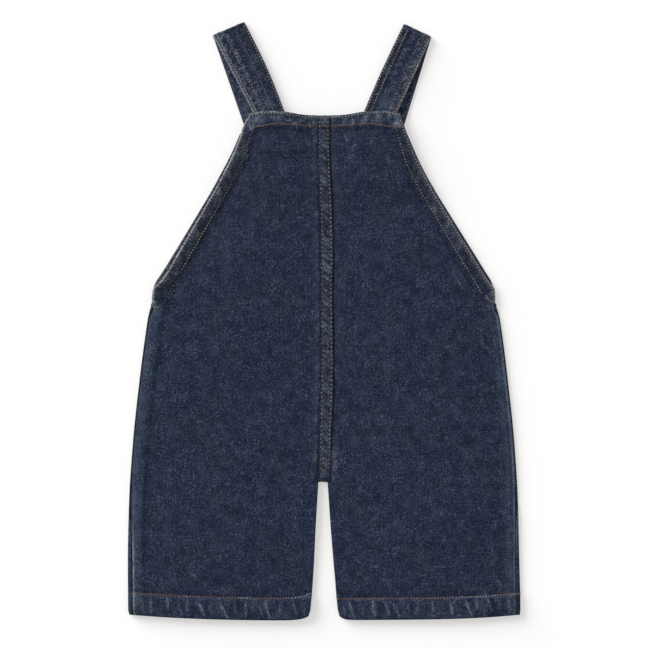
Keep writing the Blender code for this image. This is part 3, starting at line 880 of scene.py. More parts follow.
# %% Draw the patterns of the weave
FLECK_SIZE = 3 * MM
GRAIN_SIZE = 1.1 * MM
PATCH_SIZE = 9 * MM
BLOTCH_SIZE = 34 * MM
LIVELY_SIZE = 15 * MM
SLUBS_PER_METRE = (900, 110, 1)
TWILL_SPACING = 1.9 * MM
TWILL_TURN = 28
ONE_BAND_A_METRE = 0.31
Weave = namedtuple("Weave", "patch grain slubs curl flecks dark_spots twill")


def weave_patterns(group, place):
    curl = noise(group, place, 1 / FLECK_SIZE, 2, 0.55, 0.4)
    lines = remap(group, calculate(group, "ABSOLUTE", centred(group, curl)), 0, 0.045, 1, 0)
    broken = remap(group, noise(group, place, 1 / (FLECK_SIZE * 0.7), 1), 0.44, 0.62)
    spots = noise(group, place, 1 / (FLECK_SIZE * 0.62), 1, 0.5)
    wave = add_node(group, "ShaderNodeTexWave", wave_type="BANDS", bands_direction="X")
    feed(group, wave, {"Vector": stretch(group, place, (1, 1, 1), TWILL_TURN), "Distortion": 1.6,
                       "Scale": ONE_BAND_A_METRE / TWILL_SPACING, "Detail": 2})
    return Weave(patch=noise(group, place, 1 / PATCH_SIZE, 3, 0.6),
                 grain=noise(group, place, 1 / GRAIN_SIZE, 1),
                 slubs=noise(group, stretch(group, place, SLUBS_PER_METRE), 1, 2),
                 curl=curl, flecks=product(group, lines, broken),
                 dark_spots=remap(group, spots, 0.6, 0.72), twill=wave.outputs["Fac"])


print(f"flecks {FLECK_SIZE / MM} mm, grain {GRAIN_SIZE / MM} mm, twill {TWILL_SPACING / MM} mm apart")

# %% [markdown]
# The group mixes deep and pale indigo, lays the rubbed colour over them, and last darkens by `shade`,
# which is partly painted shade.
# The flecks and the grain are strongest, and the twill is nearly lost, as it is after many washes.

# %% Build the denim group
NUMBERS_READ = ("Fade", "Shade", "Teal", "Edge", "Rim", "Twin", "Grey")
OUTPUTS = (("Colour", "NodeSocketColor"), ("Height", "NodeSocketFloat"), ("Roughness", "NodeSocketFloat"))
GRAIN_SHARE, SLUB_SHARE, FLECK_SHARE, SPOT_SHARE = 1.05, 0.45, 0.62, -0.42
PATCH_SHARE, TWILL_SHARE, TEAL_SHARE, BASE_SHARE = 0.7, 0.05, 0.26, 0.125
DARKENING = 0.72


def indigo_colour(group, start, weave):
    place, teal = start.outputs["Place"], start.outputs["Teal"]
    lively = remap(group, noise(group, place, 1 / LIVELY_SIZE, 2), 0.34, 0.64, 0.68, 1.22)
    vary = product(group, centred(group, weave.grain), GRAIN_SHARE)
    vary = plus_shares(group, vary, (centred(group, weave.slubs), SLUB_SHARE), (weave.flecks, FLECK_SHARE),
                       (weave.dark_spots, SPOT_SHARE))
    light = product(group, centred(group, weave.patch), PATCH_SHARE)
    light = plus_shares(group, light, (centred(group, weave.twill), TWILL_SHARE), (vary, lively),
                        (teal, TEAL_SHARE))
    light = calculate(group, "ADD", light, BASE_SHARE, clamp=True)
    blotch = remap(group, noise(group, place, 1 / BLOTCH_SIZE, 2), 0.38, 0.62)
    greener = product(group, teal, remap(group, weave.patch, 0.32, 0.66, 0.5, 1))
    deep = blend_colour(group, greener, blend_colour(group, blotch, INDIGO, INDIGO_TEAL), TEAL_DEEP)
    pale = blend_colour(group, greener, INDIGO_LIGHT, TEAL_LIGHT)
    return blend_colour(group, light, deep, pale)


def worn_and_shaded_colour(group, start, weave, colour):
    uneven = plus_shares(group, remap(group, weave.grain, 0.34, 0.68, 0.15, 1.35), (weave.flecks, 0.9))
    rub = product(group, start.outputs["Fade"], uneven)
    rub = calculate(group, "MAXIMUM", rub, rubbed_rim(group, start), clamp=True)
    bleached = blend_colour(group, start.outputs["Grey"], RUBBED, RUBBED_GREY)
    colour = blend_colour(group, rub, colour, bleached)
    # Shade darkens the colour: partly darker cloth, partly painted shade.
    dark = calculate(group, "SUBTRACT", 1, product(group, start.outputs["Shade"], DARKENING), clamp=True)
    return blend_colour(group, 1, colour, dark, "MULTIPLY")


def build_denim():
    group = bpy.data.node_groups.new("indigo twill", "ShaderNodeTree")
    group.interface.new_socket(name="Place", in_out="INPUT", socket_type="NodeSocketVector")
    for name in NUMBERS_READ:
        group.interface.new_socket(name=name, in_out="INPUT", socket_type="NodeSocketFloat")
    for name, kind in OUTPUTS:
        group.interface.new_socket(name=name, in_out="OUTPUT", socket_type=kind)
    start = add_node(group, "NodeGroupInput")
    weave = weave_patterns(group, start.outputs["Place"])
    colour = worn_and_shaded_colour(group, start, weave, indigo_colour(group, start, weave))
    height = plus_shares(group, product(group, weave.grain, 0.7), (weave.twill, 0.26), (weave.curl, 0.8))
    roughness = remap(group, weave.grain, 0.3, 0.7, 0.97, 0.86)
    feed(group, add_node(group, "NodeGroupOutput"),
         {"Colour": colour, "Height": height, "Roughness": roughness})
    return group


DENIM = build_denim()
print("denim group:", len(DENIM.nodes), "nodes")

# %% [markdown]
# The material holds the Principled shader, and the group feeds it. Denim reflects little, with a faint
# sheen from its loose fibres. The weave is too fine to model, so its height is bump.

# %% Make a cloth material
WEAVE_BUMP = 0.27


def cloth_material(name):
    made, tree, surface = new_material(name)
    place = add_node(tree, "ShaderNodeAttribute", attribute_name="place").outputs["Vector"]
    twill = feed(tree, add_node(tree, "ShaderNodeGroup", node_tree=DENIM), {"Place": place})
    feed(tree, twill, {number: point_number(tree, number.lower()) for number in NUMBERS_READ})
    normal = bump(tree, twill.outputs["Height"], WEAVE_BUMP * MM)
    feed(tree, surface, {"Specular IOR Level": 0.14, "Sheen Weight": 0.04, "Sheen Roughness": 0.6,
                         "Base Color": twill.outputs["Colour"], "Roughness": twill.outputs["Roughness"],
                         "Normal": normal})
    return made


denim = cloth_material("denim")
print("denim material:", len(denim.node_tree.nodes), "nodes")

# %% [markdown]
# ## Making a piece of cloth
#
# A piece starts as a flat grid. Its points move to their places on the cloth's outer face, Solidify gives
# thickness towards the inside, and Bevel rounds the cut edges, so that they look like folded cloth.

# %% Make a piece of cloth from a grid
EDGE_ROUNDING = 0.5
SHARP_ANGLE = 50


def add_bevel(made, width, degrees):
    bevel = made.modifiers.new("rounded edges", "BEVEL")
    bevel.width, bevel.segments = width * MM, 3
    bevel.limit_method, bevel.angle_limit = "ANGLE", math.radians(degrees)
    return bevel


def apply_modifiers(made):
    for modifier in list(made.modifiers):
        bpy.ops.object.modifier_apply(modifier=modifier.name)


def cloth_piece(name, face, wall, rounding=EDGE_ROUNDING):
    rows, columns = face.shape[:2]
    bpy.ops.mesh.primitive_grid_add(x_subdivisions=columns - 1, y_subdivisions=rows - 1, size=2)
    made = bpy.context.object
    made.name = name
    mesh = made.data
    flat = np.empty(len(mesh.vertices) * 3, np.float32)
    mesh.vertices.foreach_get("co", flat)
    flat = flat.reshape(-1, 3)
    i = np.rint((flat[:, 0] + 1) / 2 * (columns - 1)).astype(int)
    j = np.rint((flat[:, 1] + 1) / 2 * (rows - 1)).astype(int)
    mesh.vertices.foreach_set("co", (face[j, i] * MM).astype(np.float32).ravel())
    thickest = float(wall.max())
    weights = made.vertex_groups.new(name="wall")
    for index, share in enumerate(wall[j, i] / thickest):
        weights.add([index], float(share), "REPLACE")
    solid = made.modifiers.new("wall", "SOLIDIFY")
    solid.thickness, solid.offset, solid.vertex_group = thickest * MM, -1, "wall"
    add_bevel(made, rounding, SHARP_ANGLE).use_clamp_overlap = False
    apply_modifiers(made)
    made.vertex_groups.clear()
    bpy.ops.object.shade_smooth()
    made.select_set(False)
    return made


print("cloth pieces: grid, then Solidify, then Bevel, edges rounded by", EDGE_ROUNDING, "mm")

# %% [markdown]
# Solidify and Bevel make new points, so the points are read back after them. `place` is a point's own spot
# in the cloth in metres, so a pattern stays on its piece.

# %% Read points and write their numbers
def read_points(piece):
    points = np.empty(len(piece.data.vertices) * 3, np.float32)
    piece.data.vertices.foreach_get("co", points)
    return (points.reshape(-1, 3) / MM).astype(float).T


def write_attribute(piece, name, values):
    layer = piece.data.attributes.new(name, "FLOAT", "POINT")
    layer.data.foreach_set("value", np.asarray(values, np.float32))


def write_place(piece, x, y, z=0):
    layer = piece.data.attributes.new("place", "FLOAT_VECTOR", "POINT")
    spots = np.stack(np.broadcast_arrays(x, y, z), axis=1) * MM
    layer.data.foreach_set("vector", spots.astype(np.float32).ravel())


def put_in_place(piece, look, node):
    """Gives a piece its material and lets it take the place of a plain solid."""
    piece.data.materials.clear()
    piece.data.materials.append(look)
    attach(piece, "root")
    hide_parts(node)
    print(f"{piece.name}: {len(piece.data.polygons)} faces")


def finish_cloth(piece, masks, node):
    for name, values in masks.items():
        write_attribute(piece, name, values if name == "edge" else np.clip(values, 0, 1))
    put_in_place(piece, denim, node)


print("numbers at each point:", ", ".join(name.lower() for name in NUMBERS_READ))

# %% [markdown]
# ## What is rubbed, what is dark and where shade is painted
#
# The turned armhole edge is rubbed nearly white, the facing beside it is dark, the neck band and the hems
# are greener and paler, and the hollow to the right of the centre seam gets a painted shadow that is nearly
# black. It could be painted by hand, but worked out from the stitches' own distances it follows every edge,
# and both sides can share it. `Spots` holds the distances and masks that several marks use.

# %% Find where the points of a panel lie
FIELDS = """side x y from_edge from_neck from_hem rise below_arm in_bib on_body in_hem
            beside_seam from_seam above_crotch wide close fine"""
Spots = namedtuple("Spots", FIELDS)


def in_neck(x):
    return fall(50, 56, np.abs(x))


def ridge_share(rise):
    return 0.56 * ease(0.08, 0.5, rise)


def panel_spots(side, x, y, distances, rise):
    from_edge, from_neck, from_hem = distances
    below_arm = fall(SEAM_TOP - 1, SEAM_TOP + 3, y)
    from_seam = band_off(x, y) * SIGN[side]
    in_bib = (1 - below_arm) * fall(147, 153, y)
    on_body = ease(16, 20, from_hem) * ease(13, 17, from_edge) * ease(22, 34, from_neck)
    in_hem, beside_seam = fall(15, 17.5, from_hem), band(from_seam, 6, 6, 0.6)
    above_crotch = ease(CROTCH, CROTCH + 5, y)
    clouds = cloudy(x, y, 14, 1), cloudy(x, y, 5, 2), cloudy(x, y, 2.2, 3)
    return Spots(side, x, y, *distances, rise, below_arm, in_bib, on_body, in_hem, beside_seam,
                 from_seam, above_crotch, *clouds)


print("each point of a panel has", len(Spots._fields), "measures of where it lies")

# %% [markdown]
# What stands proud is rubbed: ridges, the neck edge and the turned armhole. A crease on the body is rubbed
# less than one in a stiff edge. A panel's own side edge is paler low down.

# %% Rub the panels
EDGE_WEAR = {"left": 0.92, "right": 0.46}
TWIN_WEAR = {"left": 0, "right": 0.2}
SIDE_WEAR = {"left": 0.42, "right": 0.12}
WALL_FADE = {"left": 0, "right": 0.3}
SEAM_CALM = {"left": 0.5, "right": 0.25}
BARE_FADE = 0.007


def on_wall(at):
    return at.below_arm * fall(0, 0.7, at.from_edge)


def panel_fade(at):
    ridges = ridge_share(at.rise) * (1 - 0.22 * at.in_hem) * (1 - 0.42 * at.on_body)
    ridges = ridges * (1 - SEAM_CALM[at.side] * at.beside_seam)
    in_band = 0.44 * band(at.from_neck, 5, 5, 0.4)
    fade = strongest(
        0.9 * ridges * (0.35 + 0.9 * at.fine),
        0.1 * at.in_bib * band(at.from_edge, 5.8, 3, 0.6) * ease(0.6, 0.95, at.close),
        0.46 * band(at.from_neck, 0.9, 1, 0.6) * (0.1 + 1.1 * at.close),
        in_band * ease(0.48, 0.9, at.fine) * (0.2 + 1 * at.wide),
        0.05 * fall(15, 17, at.from_hem) * ease(0.5, 0.9, at.close),
        BARE_FADE * ease(30, 100, at.y),
        WALL_FADE[at.side] * on_wall(at) * ease(-160, -110, at.y))
    if at.side == "left":
        return fade
    beside_foot = at.above_crotch * fall(-100, -88, at.y) * band(at.from_seam, 7, 2.4, 0.6)
    return np.maximum(fade, 0.19 * beside_foot * ease(0.35, 0.8, at.fine))


def panel_rims(at):
    armhole = 1 - at.below_arm
    low_side = 0.25 + SIDE_WEAR[at.side] * fall(-190, -150, at.y)
    rim = EDGE_WEAR[at.side] * armhole * (0.65 + 0.45 * at.wide) * (1 - 0.35 * ease(120, 150, at.y))
    rim = np.maximum(rim, 0.62 * at.below_arm * low_side * (0.5 + 0.8 * at.close))
    return rim, TWIN_WEAR[at.side] * armhole * (0.3 + 0.9 * at.wide)


print("rubbing of the armholes' edges:", EDGE_WEAR)

# %% [markdown]
# The doubled facings are darker cloth. Painted shade darkens the cloth just inside each stitch line, where
# it is drawn down, the left panel's side wall and the hollow beside the seam band. The hem is darker along
# its very edge.

# %% Shade the panels
FACING_SHADE = {"left": 0.66, "right": 0.42}
WALL_SHADE = {"left": 0.35, "right": 0}


def seam_hollow_shadow(at):
    """Painted shadow in the hollow beside the band: most of the band's length on the right, and its foot on
    the left.
    """
    if at.side == "left":
        hollow = 0.9 * at.above_crotch * fall(-104, -84, at.y)
        return hollow * band(at.from_seam, 4.9, 0.8, 0.6)
    hollow = 0.64 * ease(-104, -90, at.y)
    narrow = hollow * band(at.from_seam, 4.9, 0.8, 0.7)
    return np.maximum(narrow, 0.35 * hollow * band(at.from_seam, 6.2, 1.8, 0.6))


def panel_shade(at):
    inside_facing = armhole_inner_line(at.y) + 2.2
    in_band = 0.62 * in_neck(at.x) * band(at.from_neck, 6, 4.5, 0.5)
    in_hem = 0.4 * fall(15, 16.5, at.from_hem)
    return strongest(
        FACING_SHADE[at.side] * at.in_bib * band(at.from_edge, 6.4, 3.2, 0.3) * (0.3 + 1 * at.wide),
        in_band * ease(0.5, 0.85, 1 - at.close),
        # Painted shade just inside the armhole and neck stitch lines.
        0.4 * at.in_bib * band(at.from_edge, inside_facing, 2.6, 0.6),
        0.42 * band(at.from_neck, 11.9, 2.6, 0.6) * (1 - at.below_arm) * in_neck(at.x),
        0.75 * fall(0.2, 1.5, at.from_hem),
        in_hem * ease(0.5, 0.8, cloudy(at.x, at.y * 0.4, 6.5, 5)),
        # Painted shade just inside the hem's stitch line.
        0.34 * band(at.from_hem, 19.2, 2.2, 0.6) * (0.4 + 0.6 * at.wide),
        0.3 * at.below_arm * band(at.from_edge, 10.5, 3.4, 0.7) * at.wide,
        # Painted shade on the side wall and in the hollow beside the seam band.
        WALL_SHADE[at.side] * on_wall(at),
        seam_hollow_shadow(at))


print("shade of the facings:", FACING_SHADE)

# %% [markdown]
# Worked edges look greener, and where they are rubbed they have lost their blue. All the numbers are
# gathered under the names that the finish reads.

# %% Gather the wear and painted shade of a panel
def panel_teal(at):
    near_corner = ease(28, 52, np.abs(at.x))
    neck = (0.14 + 0.36 * near_corner) * band(at.from_neck, 5.8, 4.4, 0.3) * (0.3 + 1 * at.close)
    hem = at.in_hem * (0.14 * ease(0.3, 0.8, at.wide) + 0.9 * ridge_share(at.rise))
    side_seam = 0.52 * at.below_arm * band(at.from_edge, 4, 3.6, 0.5) * (0.55 + 0.6 * at.wide)
    seam = 0.2 * at.above_crotch * band(at.from_seam, 7.2, 2.6, 0.6) * (0.4 + 0.9 * at.close)
    return strongest(neck, hem, side_seam, seam)


def panel_grey(at):
    armhole = (1 - at.below_arm) * fall(9, 14, at.from_edge)
    neck = 0.5 * fall(8, 14, at.from_neck)
    return strongest(armhole, neck, 0.3 * fall(15, 18, at.from_hem))


def panel_wear_and_shade(side, x, y, distances, rise):
    at = panel_spots(side, x, y, distances, rise)
    rim, twin = panel_rims(at)
    return {"fade": panel_fade(at), "shade": panel_shade(at), "teal": panel_teal(at), "edge": at.from_edge,
            "rim": rim, "twin": twin, "grey": panel_grey(at)}


sample = panel_wear_and_shade("left", np.array([-80]), np.array([-222]), np.full((3, 1), 12), np.array([0.4]))
print("a pucker's crest in a hem:", {name: round(float(value[0]), 2) for name, value in sample.items()})

# %% [markdown]
# ## The back panels
#
# Each back panel is cut in one from the neck edge to the leg hem. The grid is finest near the seam, the
# side, the neck and the hem, where the small forms are. Elsewhere its points are about 1.5 mm apart.

# %% Space the rows and columns
NEAR_SEAM = np.array([0, 0.9, 1.8, 2.7, 3.6, 4.4, 5.2, 6, 6.8, 7.8, 9, 10.4])
NEAR_EDGE = np.array([0, 0.9, 1.7, 2.5, 3.3, 4.2, 5.1, 6, 6.9, 7.8, 8.6, 9.4, 10.2, 11.2, 12.4, 13.8])
NEAR_NECK = np.concatenate([[0, 0.9, 1.8], np.arange(2.7, 17, 0.9)])
NEAR_HEM = np.concatenate([[0, 0.9, 1.8], np.arange(2.7, 25, 0.9)])
BACK_MIDDLE, BACK_STEP = 112, 1.5
FRONT_MIDDLE, FRONT_STEP = 58, 1.8


def spaced_shares(width, between):
    start, end = NEAR_SEAM[-1] / width, 1 - NEAR_EDGE[-1] / width
    middle = np.linspace(start, end, between + 2)[1:-1]
    return np.concatenate([NEAR_SEAM / width, middle, 1 - NEAR_EDGE[::-1] / width])


def spaced_levels(neck, step):
    low, high = HEM_HEIGHT + NEAR_HEM, neck - NEAR_NECK[::-1]
    count = int((high[0] - low[-1]) / step)
    between = np.linspace(low[-1], high[0], count + 1)[1:-1]
    between = between[np.abs(between - GAP_TOP) > 0.6]
    at_gap = [GAP_TOP - 0.1, GAP_TOP + 0.1]
    return np.sort(np.concatenate([low, between, at_gap, high]))


print(f"back: {len(spaced_levels(NECK_HEIGHT, BACK_STEP))} rows, front: "
      f"{len(spaced_levels(BIB_HEIGHT, FRONT_STEP))} rows")

# %% [markdown]
# A row follows the neck edge or the hem when it is near them, and is level in between. Its two ends have
# their own heights, and they say how wide it is.

# %% Bend the rows to the edges
def near_edges(level, neck):
    near_neck = fall(0, NECK_FOLLOW, neck - level)
    return near_neck, 1 - ease(HEM_DEPTH, HEM_FOLLOW, level - HEM_HEIGHT)


def row_ends(side, level, neck):
    near_neck, near_hem = near_edges(level, neck)
    outer = level + near_neck * neck_shift(1) + near_hem * hem_shift(side, 1)
    return outer, level + near_neck * neck_shift(0) + near_hem * hem_shift(side, 0)


def row_points(side, level, neck, outer, inner, between):
    near_neck, near_hem = near_edges(level, neck)
    u = spaced_shares(abs(outer - inner), between)
    return mix(inner, outer, u), level + near_neck * neck_shift(u) + near_hem * hem_shift(side, u)


lowest = row_ends("left", HEM_HEIGHT, NECK_HEIGHT)
print(f"the lowest row runs from {float(lowest[1]):.1f} to {float(lowest[0]):.1f} mm")

# %% [markdown]
# The left panel's rows are turned round, so that the faces of both panels look up. Each finer piece then
# takes its plain solid's place.

# %% Make the back panels
def back_panel(side):
    rows = []
    for level in spaced_levels(NECK_HEIGHT, BACK_STEP):
        outer_y, inner_y = row_ends(side, level, NECK_HEIGHT)
        ends = back_edge(side, outer_y), back_inner_edge(side, inner_y)
        x, y = row_points(side, level, NECK_HEIGHT, *ends, BACK_MIDDLE)
        rows.append(np.stack([x, y], axis=1))
    flat = np.array(rows)
    if side == "left":
        flat = flat[:, ::-1]
    x, y = flat[..., 0], flat[..., 1]
    _, wall = plain_back(side, x, y)
    piece = cloth_piece(f"back_{side}", np.dstack([x, y, back_height(side, x, y)]), wall)
    px, py, _ = read_points(piece)
    write_place(piece, px, py)
    wear_and_shade = panel_wear_and_shade(side, px, py, back_distances(side, px, py), back_relief(side, px, py))
    finish_cloth(piece, wear_and_shade, f"back_{side}_panel")
    return piece


backs = {side: back_panel(side) for side in SIDES}

# %% [markdown]
# ## The front panels
#
# The front lies face down. At the sides its cloth comes up round the seam, and a strip 3 mm wide of it
# shows beside the back, so each row of the grid ends in a half circle and a short flap.

# %% Roll the side of the front
ROLL_STEPS = 9
FRONT_COLUMNS = 84
FRONT_NECK_LINE = 10


def rolled(distance, radius, turn):
    """Outward and upward travel after a distance along cloth that bends through turn half-circles."""
    turn = max(turn, 1e-6)
    bend = np.pi * radius
    angle = turn * np.minimum(distance, bend) / radius
    straight = np.maximum(distance - bend, 0)
    outward = radius / turn * np.sin(angle) + straight * np.cos(np.pi * turn)
    upward = radius / turn * (1 - np.cos(angle)) + straight * np.sin(np.pi * turn)
    return outward, upward


def rolled_share(y):
    """All of the roll, or half of it where the back covers it."""
    covered = ease(-158, -142, y) * fall(SEAM_ROLLED - 4, SEAM_TOP, y)
    return 1 - 0.5 * float(covered)


def front_distances(side, x, y):
    edge = EDGE[side](y) + SIGN[side] * ROLL[side](y)
    from_edge = np.abs(edge - x) * edge_slope(side, y)
    u = across_panel(side, x, np.full(np.shape(y), BIB_HEIGHT))
    return from_edge, BIB_HEIGHT + neck_shift(u) - y, y - hem_edge(side, x)


def front_grooves(side, x, y):
    from_edge, from_neck, from_hem = front_distances(side, x, y)
    armhole = ease(SEAM_TOP + 2, SEAM_TOP + 9, y)
    at_seam = band(x, SEAM_MIDDLE(y), 0.9, 0.6) * ease(CROTCH - 2, CROTCH + 2, y)
    return GROOVE * strongest(band(from_edge, ARMHOLE_INNER, 0.8, 0.6) * armhole,
                              band(from_neck, FRONT_NECK_LINE, 0.8, 0.6),
                              band(from_hem, HEM_LINE[side], 0.9, 0.6), 1.2 * at_seam)


print(f"the side's roll stands {2 * (WALL + LAYER_GAP / 2):.1f} mm high")

# %% [markdown]
# A row is first laid flat up to where the roll begins, and spread over an even number of columns, because
# every row of a grid needs as many points. The roll and the flap are added at its end.

# %% Make one row of the front
def front_row(side, level):
    sign = SIGN[side]
    outer_y, inner_y = row_ends(side, level, BIB_HEIGHT)
    edge, roll = EDGE[side](outer_y), ROLL[side](outer_y)
    silhouette, inner = edge + sign * (roll + PROUD[side]), inner_edge(side, inner_y)
    turn = float(1 - ease(SEAM_ROLLED, SEAM_TOP, outer_y))
    wall = float(front_wall(side, silhouette, outer_y))
    radius = wall + LAYER_GAP / 2
    share = rolled_share(outer_y)
    flap = max(roll + PROUD[side] - radius - SEAM_GAP - REACH[side](outer_y), 0.1) * (share > 0.99)
    travelled = np.linspace(0, share * np.pi * radius + flap, ROLL_STEPS + 2)
    outward, upward = rolled(travelled, radius, turn)
    start = silhouette - sign * outward.max()
    x, y = row_points(side, level, BIB_HEIGHT, silhouette, inner, FRONT_MIDDLE)
    flat = np.abs(silhouette - x) > np.abs(silhouette - start) + 0.4
    x, y = x[flat], y[flat]
    columns, old_columns = np.linspace(0, 1, FRONT_COLUMNS), np.linspace(0, 1, len(x))
    x, y = np.interp(columns, old_columns, x), np.interp(columns, old_columns, y)
    trough = -crease_rise(FRONT_CREASES, x, y) + front_grooves(side, x, y)
    face = np.stack([x, y, front_lift(x, y) + trough], axis=1)
    walls = front_wall(side, x, y)
    edge_x = start + sign * outward
    edge_y = np.full(len(edge_x), float(outer_y))
    edge_face = np.stack([edge_x, edge_y, front_lift(edge_x, edge_y) + upward], axis=1)
    return np.vstack([face, edge_face]), np.append(walls, np.full(len(edge_x), wall))


print("points in a row of the front:", len(front_row("left", 0.0)[0]))

# %% [markdown]
# The strip that shows beside the armholes is rubbed grey, and the roll gets darker towards the hem. Its
# place in the weave is set apart from the back's, so that their flecks differ.

# %% Make the front panels
ROLL_SHADE = {"left": 0.05, "right": 0.04}
ROLL_FADE = {"left": 0.06, "right": 0.17}
STRIP_FADE = {"left": 0.19, "right": 0.11}
LOW_ROLL_SHADE = 0.3
STRIP_SHADE = 0.28
FRONT_PLACE = 400


def front_panel(side):
    rows, walls = [], []
    for level in spaced_levels(BIB_HEIGHT, FRONT_STEP)[::-1]:
        face, wall = front_row(side, level)
        rows.append(face)
        walls.append(wall)
    face, wall = np.array(rows), np.array(walls)
    if side == "left":
        face, wall = face[:, ::-1], wall[:, ::-1]
    piece = cloth_piece(f"front_{side}", face, wall)
    px, py, pz = read_points(piece)
    distances = front_distances(side, px, py)
    from_edge, above_table = distances[0], pz - front_lift(px, py)
    wear_and_shade = panel_wear_and_shade(side, px, py, distances, crease_rise(FRONT_CREASES, px, py))
    on_top = ease(1, 2.4, above_table) * band(from_edge, 0, 4, 0.3)
    low = fall(-190, -165, py)
    wear_and_shade["shade"] = np.maximum(wear_and_shade["shade"], (ROLL_SHADE[side] + LOW_ROLL_SHADE * low) * on_top)
    wear_and_shade["fade"] = mix(wear_and_shade["fade"], ROLL_FADE[side] * (1 - low), on_top)
    wear_and_shade["rim"] = wear_and_shade["twin"] = np.zeros(len(px))
    strip = ease(0.4, 1, above_table) * band(from_edge, 0, 5, 0.3) * (py > SEAM_TOP)
    wear_and_shade["fade"] = mix(wear_and_shade["fade"], STRIP_FADE[side] * (0.5 + cloudy(px, py, 4, 41)), strip)
    wear_and_shade["shade"] = mix(wear_and_shade["shade"], STRIP_SHADE, strip)
    wear_and_shade["grey"] = np.maximum(wear_and_shade["grey"], strip)
    write_place(piece, px + FRONT_PLACE, py, pz)
    finish_cloth(piece, wear_and_shade, f"front_{side}_panel")
    return piece


fronts = {side: front_panel(side) for side in SIDES}

# %% [markdown]
# ## The centre back seam
#
# The back panels are joined by a flat-felled seam: the left one's edge is folded over the right one's and
# sewn down twice. So the band runs smoothly into the left panel, and its right side is a raised fold.
# Between its two rows of thread the shrunken seam draws up into slanted ropes, rubbed pale, with painted
# shade in the troughs between them. Painted shade also darkens the raised fold's edge, the cloth beside the
# left row of thread and the band's foot at the crotch.

# %% Make the seam band
FELL_LEFT = -5.1
FELL_RIGHT = 4.5
FELL_COLUMNS = np.array([FELL_LEFT, -4, -3.3, -2.5, -1.6, -0.7, 0.2, 1.1, 2, 2.8, 3.5, FELL_RIGHT])
FELL_ROUNDING = 0.3
FELL_PLACE = 30
ROPE_RISE = 0.24


def rope_wave(off, y):
    return uneven_wave(y + 0.8 * off, 5.2, 5)


def fell_height(off, y):
    x = band_x(off, y)
    left, right = back_height("left", x, y), back_height("right", x, y)
    under = np.where(off < 0, left, right)
    swell = mix(-0.1, FELL_WALL + SEAM_GAP, ease(FELL_LEFT, FELL_LEFT + 3.2, off))
    ropes = ROPE_RISE * rope_wave(off, y) * band(off, 0, 3, 0.3)
    lines = strongest(*(band(off, FELL_LINE[side], 0.6, 0.6) for side in SIDES))
    return under + swell + ropes - GROOVE * lines


def fell_wear_and_shade(x, y, bottom, top):
    off = band_off(x, y)
    ropes = rope_wave(off, y)
    close, wide = cloudy(x, y, 4, 8), cloudy(x, y, 12, 9)
    fade = band(off, 0.1, 2.7, 0.4) * (0.07 * ease(0.45, 0.85, close) + 0.19 * ropes * wide)
    fade = np.maximum(fade, 0.26 * band(top - y, 0.5, 0.9, 0.6))
    foot = fall(14, 34, y - bottom)
    # Painted shade on the raised right fold, and towards the band's foot.
    shade = 0.55 * fall(0, 1, FELL_RIGHT - off) * (1 - foot)
    shade = shade + 0.26 * fall(2, 12, y - bottom)
    # Painted shade in the fold at the band's foot, beside the left row of thread, and between the ropes.
    shade = strongest(
        shade,
        0.95 * fall(2.2, 4.2, y - bottom) * fall(2.6, 3.5, off),
        0.4 * band(off, FELL_LINE["left"] - 0.6, 0.8, 0.6),
        0.22 * band(off, FELL_LINE["left"] + 1, 0.7, 0.6),
        0.66 * band(off, 0, 2.8, 0.4) * ease(0.34, 0.75, 1 - ropes))
    teal = 0.2 * band(off, 0.6, 2.4, 0.5) * (0.3 + wide)
    return {"fade": fade, "shade": shade, "teal": teal}


def make_fell():
    bottom = GAP_TOP + 0.2
    top = float(row_ends("left", NECK_HEIGHT, NECK_HEIGHT)[1])
    middle = np.arange(bottom + 1.8, top - 1.5, 1)
    heights = np.concatenate([[bottom, bottom + 0.9], middle, [top - 0.9, top]])
    off, y = np.meshgrid(FELL_COLUMNS, heights)
    face = np.dstack([band_x(off, y), y, fell_height(off, y)])
    wall = np.full(off.shape, FELL_WALL) * mix(0.35, 1, ease(FELL_LEFT, FELL_LEFT + 3, off))
    piece = cloth_piece("centre_seam_band", face, wall, FELL_ROUNDING)
    px, py, _ = read_points(piece)
    write_place(piece, px, py, FELL_PLACE)
    finish_cloth(piece, fell_wear_and_shade(px, py, bottom, top), "centre_back_fell")
    return piece


fell = make_fell()

# %% [markdown]
# ## The shoulder straps
#
# A strap is one strip of doubled cloth. It starts under the back's neck edge, folds over at the shoulder
# and comes back under itself to the front bib. Its long edges are topstitched, which draws up small bumps.

# %% Follow the strap's path
StrapPath = namedtuple("StrapPath", "caught lay end up radius bows")
STRAP_ACROSS = np.linspace(0, 1, 30)
STRAP_EDGE_LINE = 1.2
STRAP_INNER_LINE = 8
STRAP_GROOVE = 0.22
BUMP_RISE = 0.2
BUMP_SPACING = 5.6


def strap_path(strap):
    radius = STRAP_WALL + SEAM_GAP / 2
    fold = np.array([strap.fold_left, strap.fold_right])
    across_fold = fold[1] - fold[0]
    up = np.array([-across_fold[1], across_fold[0]]) / np.linalg.norm(across_fold)
    caught = np.array([strap.caught_left, strap.caught_right])
    end = np.array([strap.end_left, strap.end_right])
    return StrapPath(caught, fold - up * radius, end, up, radius, strap.bows)


def run_spot(first, last, share, across, bows=(0, 0)):
    share, across = np.broadcast_arrays(share, across)
    bulge = np.sin(np.pi * share)
    left, right = (mix(first[k], last[k], share[..., None])
                   + np.stack([bows[k] * bulge, 0 * bulge], axis=-1) for k in (0, 1))
    return mix(left, right, across[..., None]), bulge


def strap_top(path, share, across):
    """A point on the run that shows: share is 0 at the neck and 1 at the fold."""
    spot, bulge = run_spot(path.caught, path.lay, share, across, path.bows)
    height = run_rise(spot[..., 1]) + 2 * path.radius + STRAP_ARCH * bulge
    return np.concatenate([spot, height[..., None]], axis=-1)


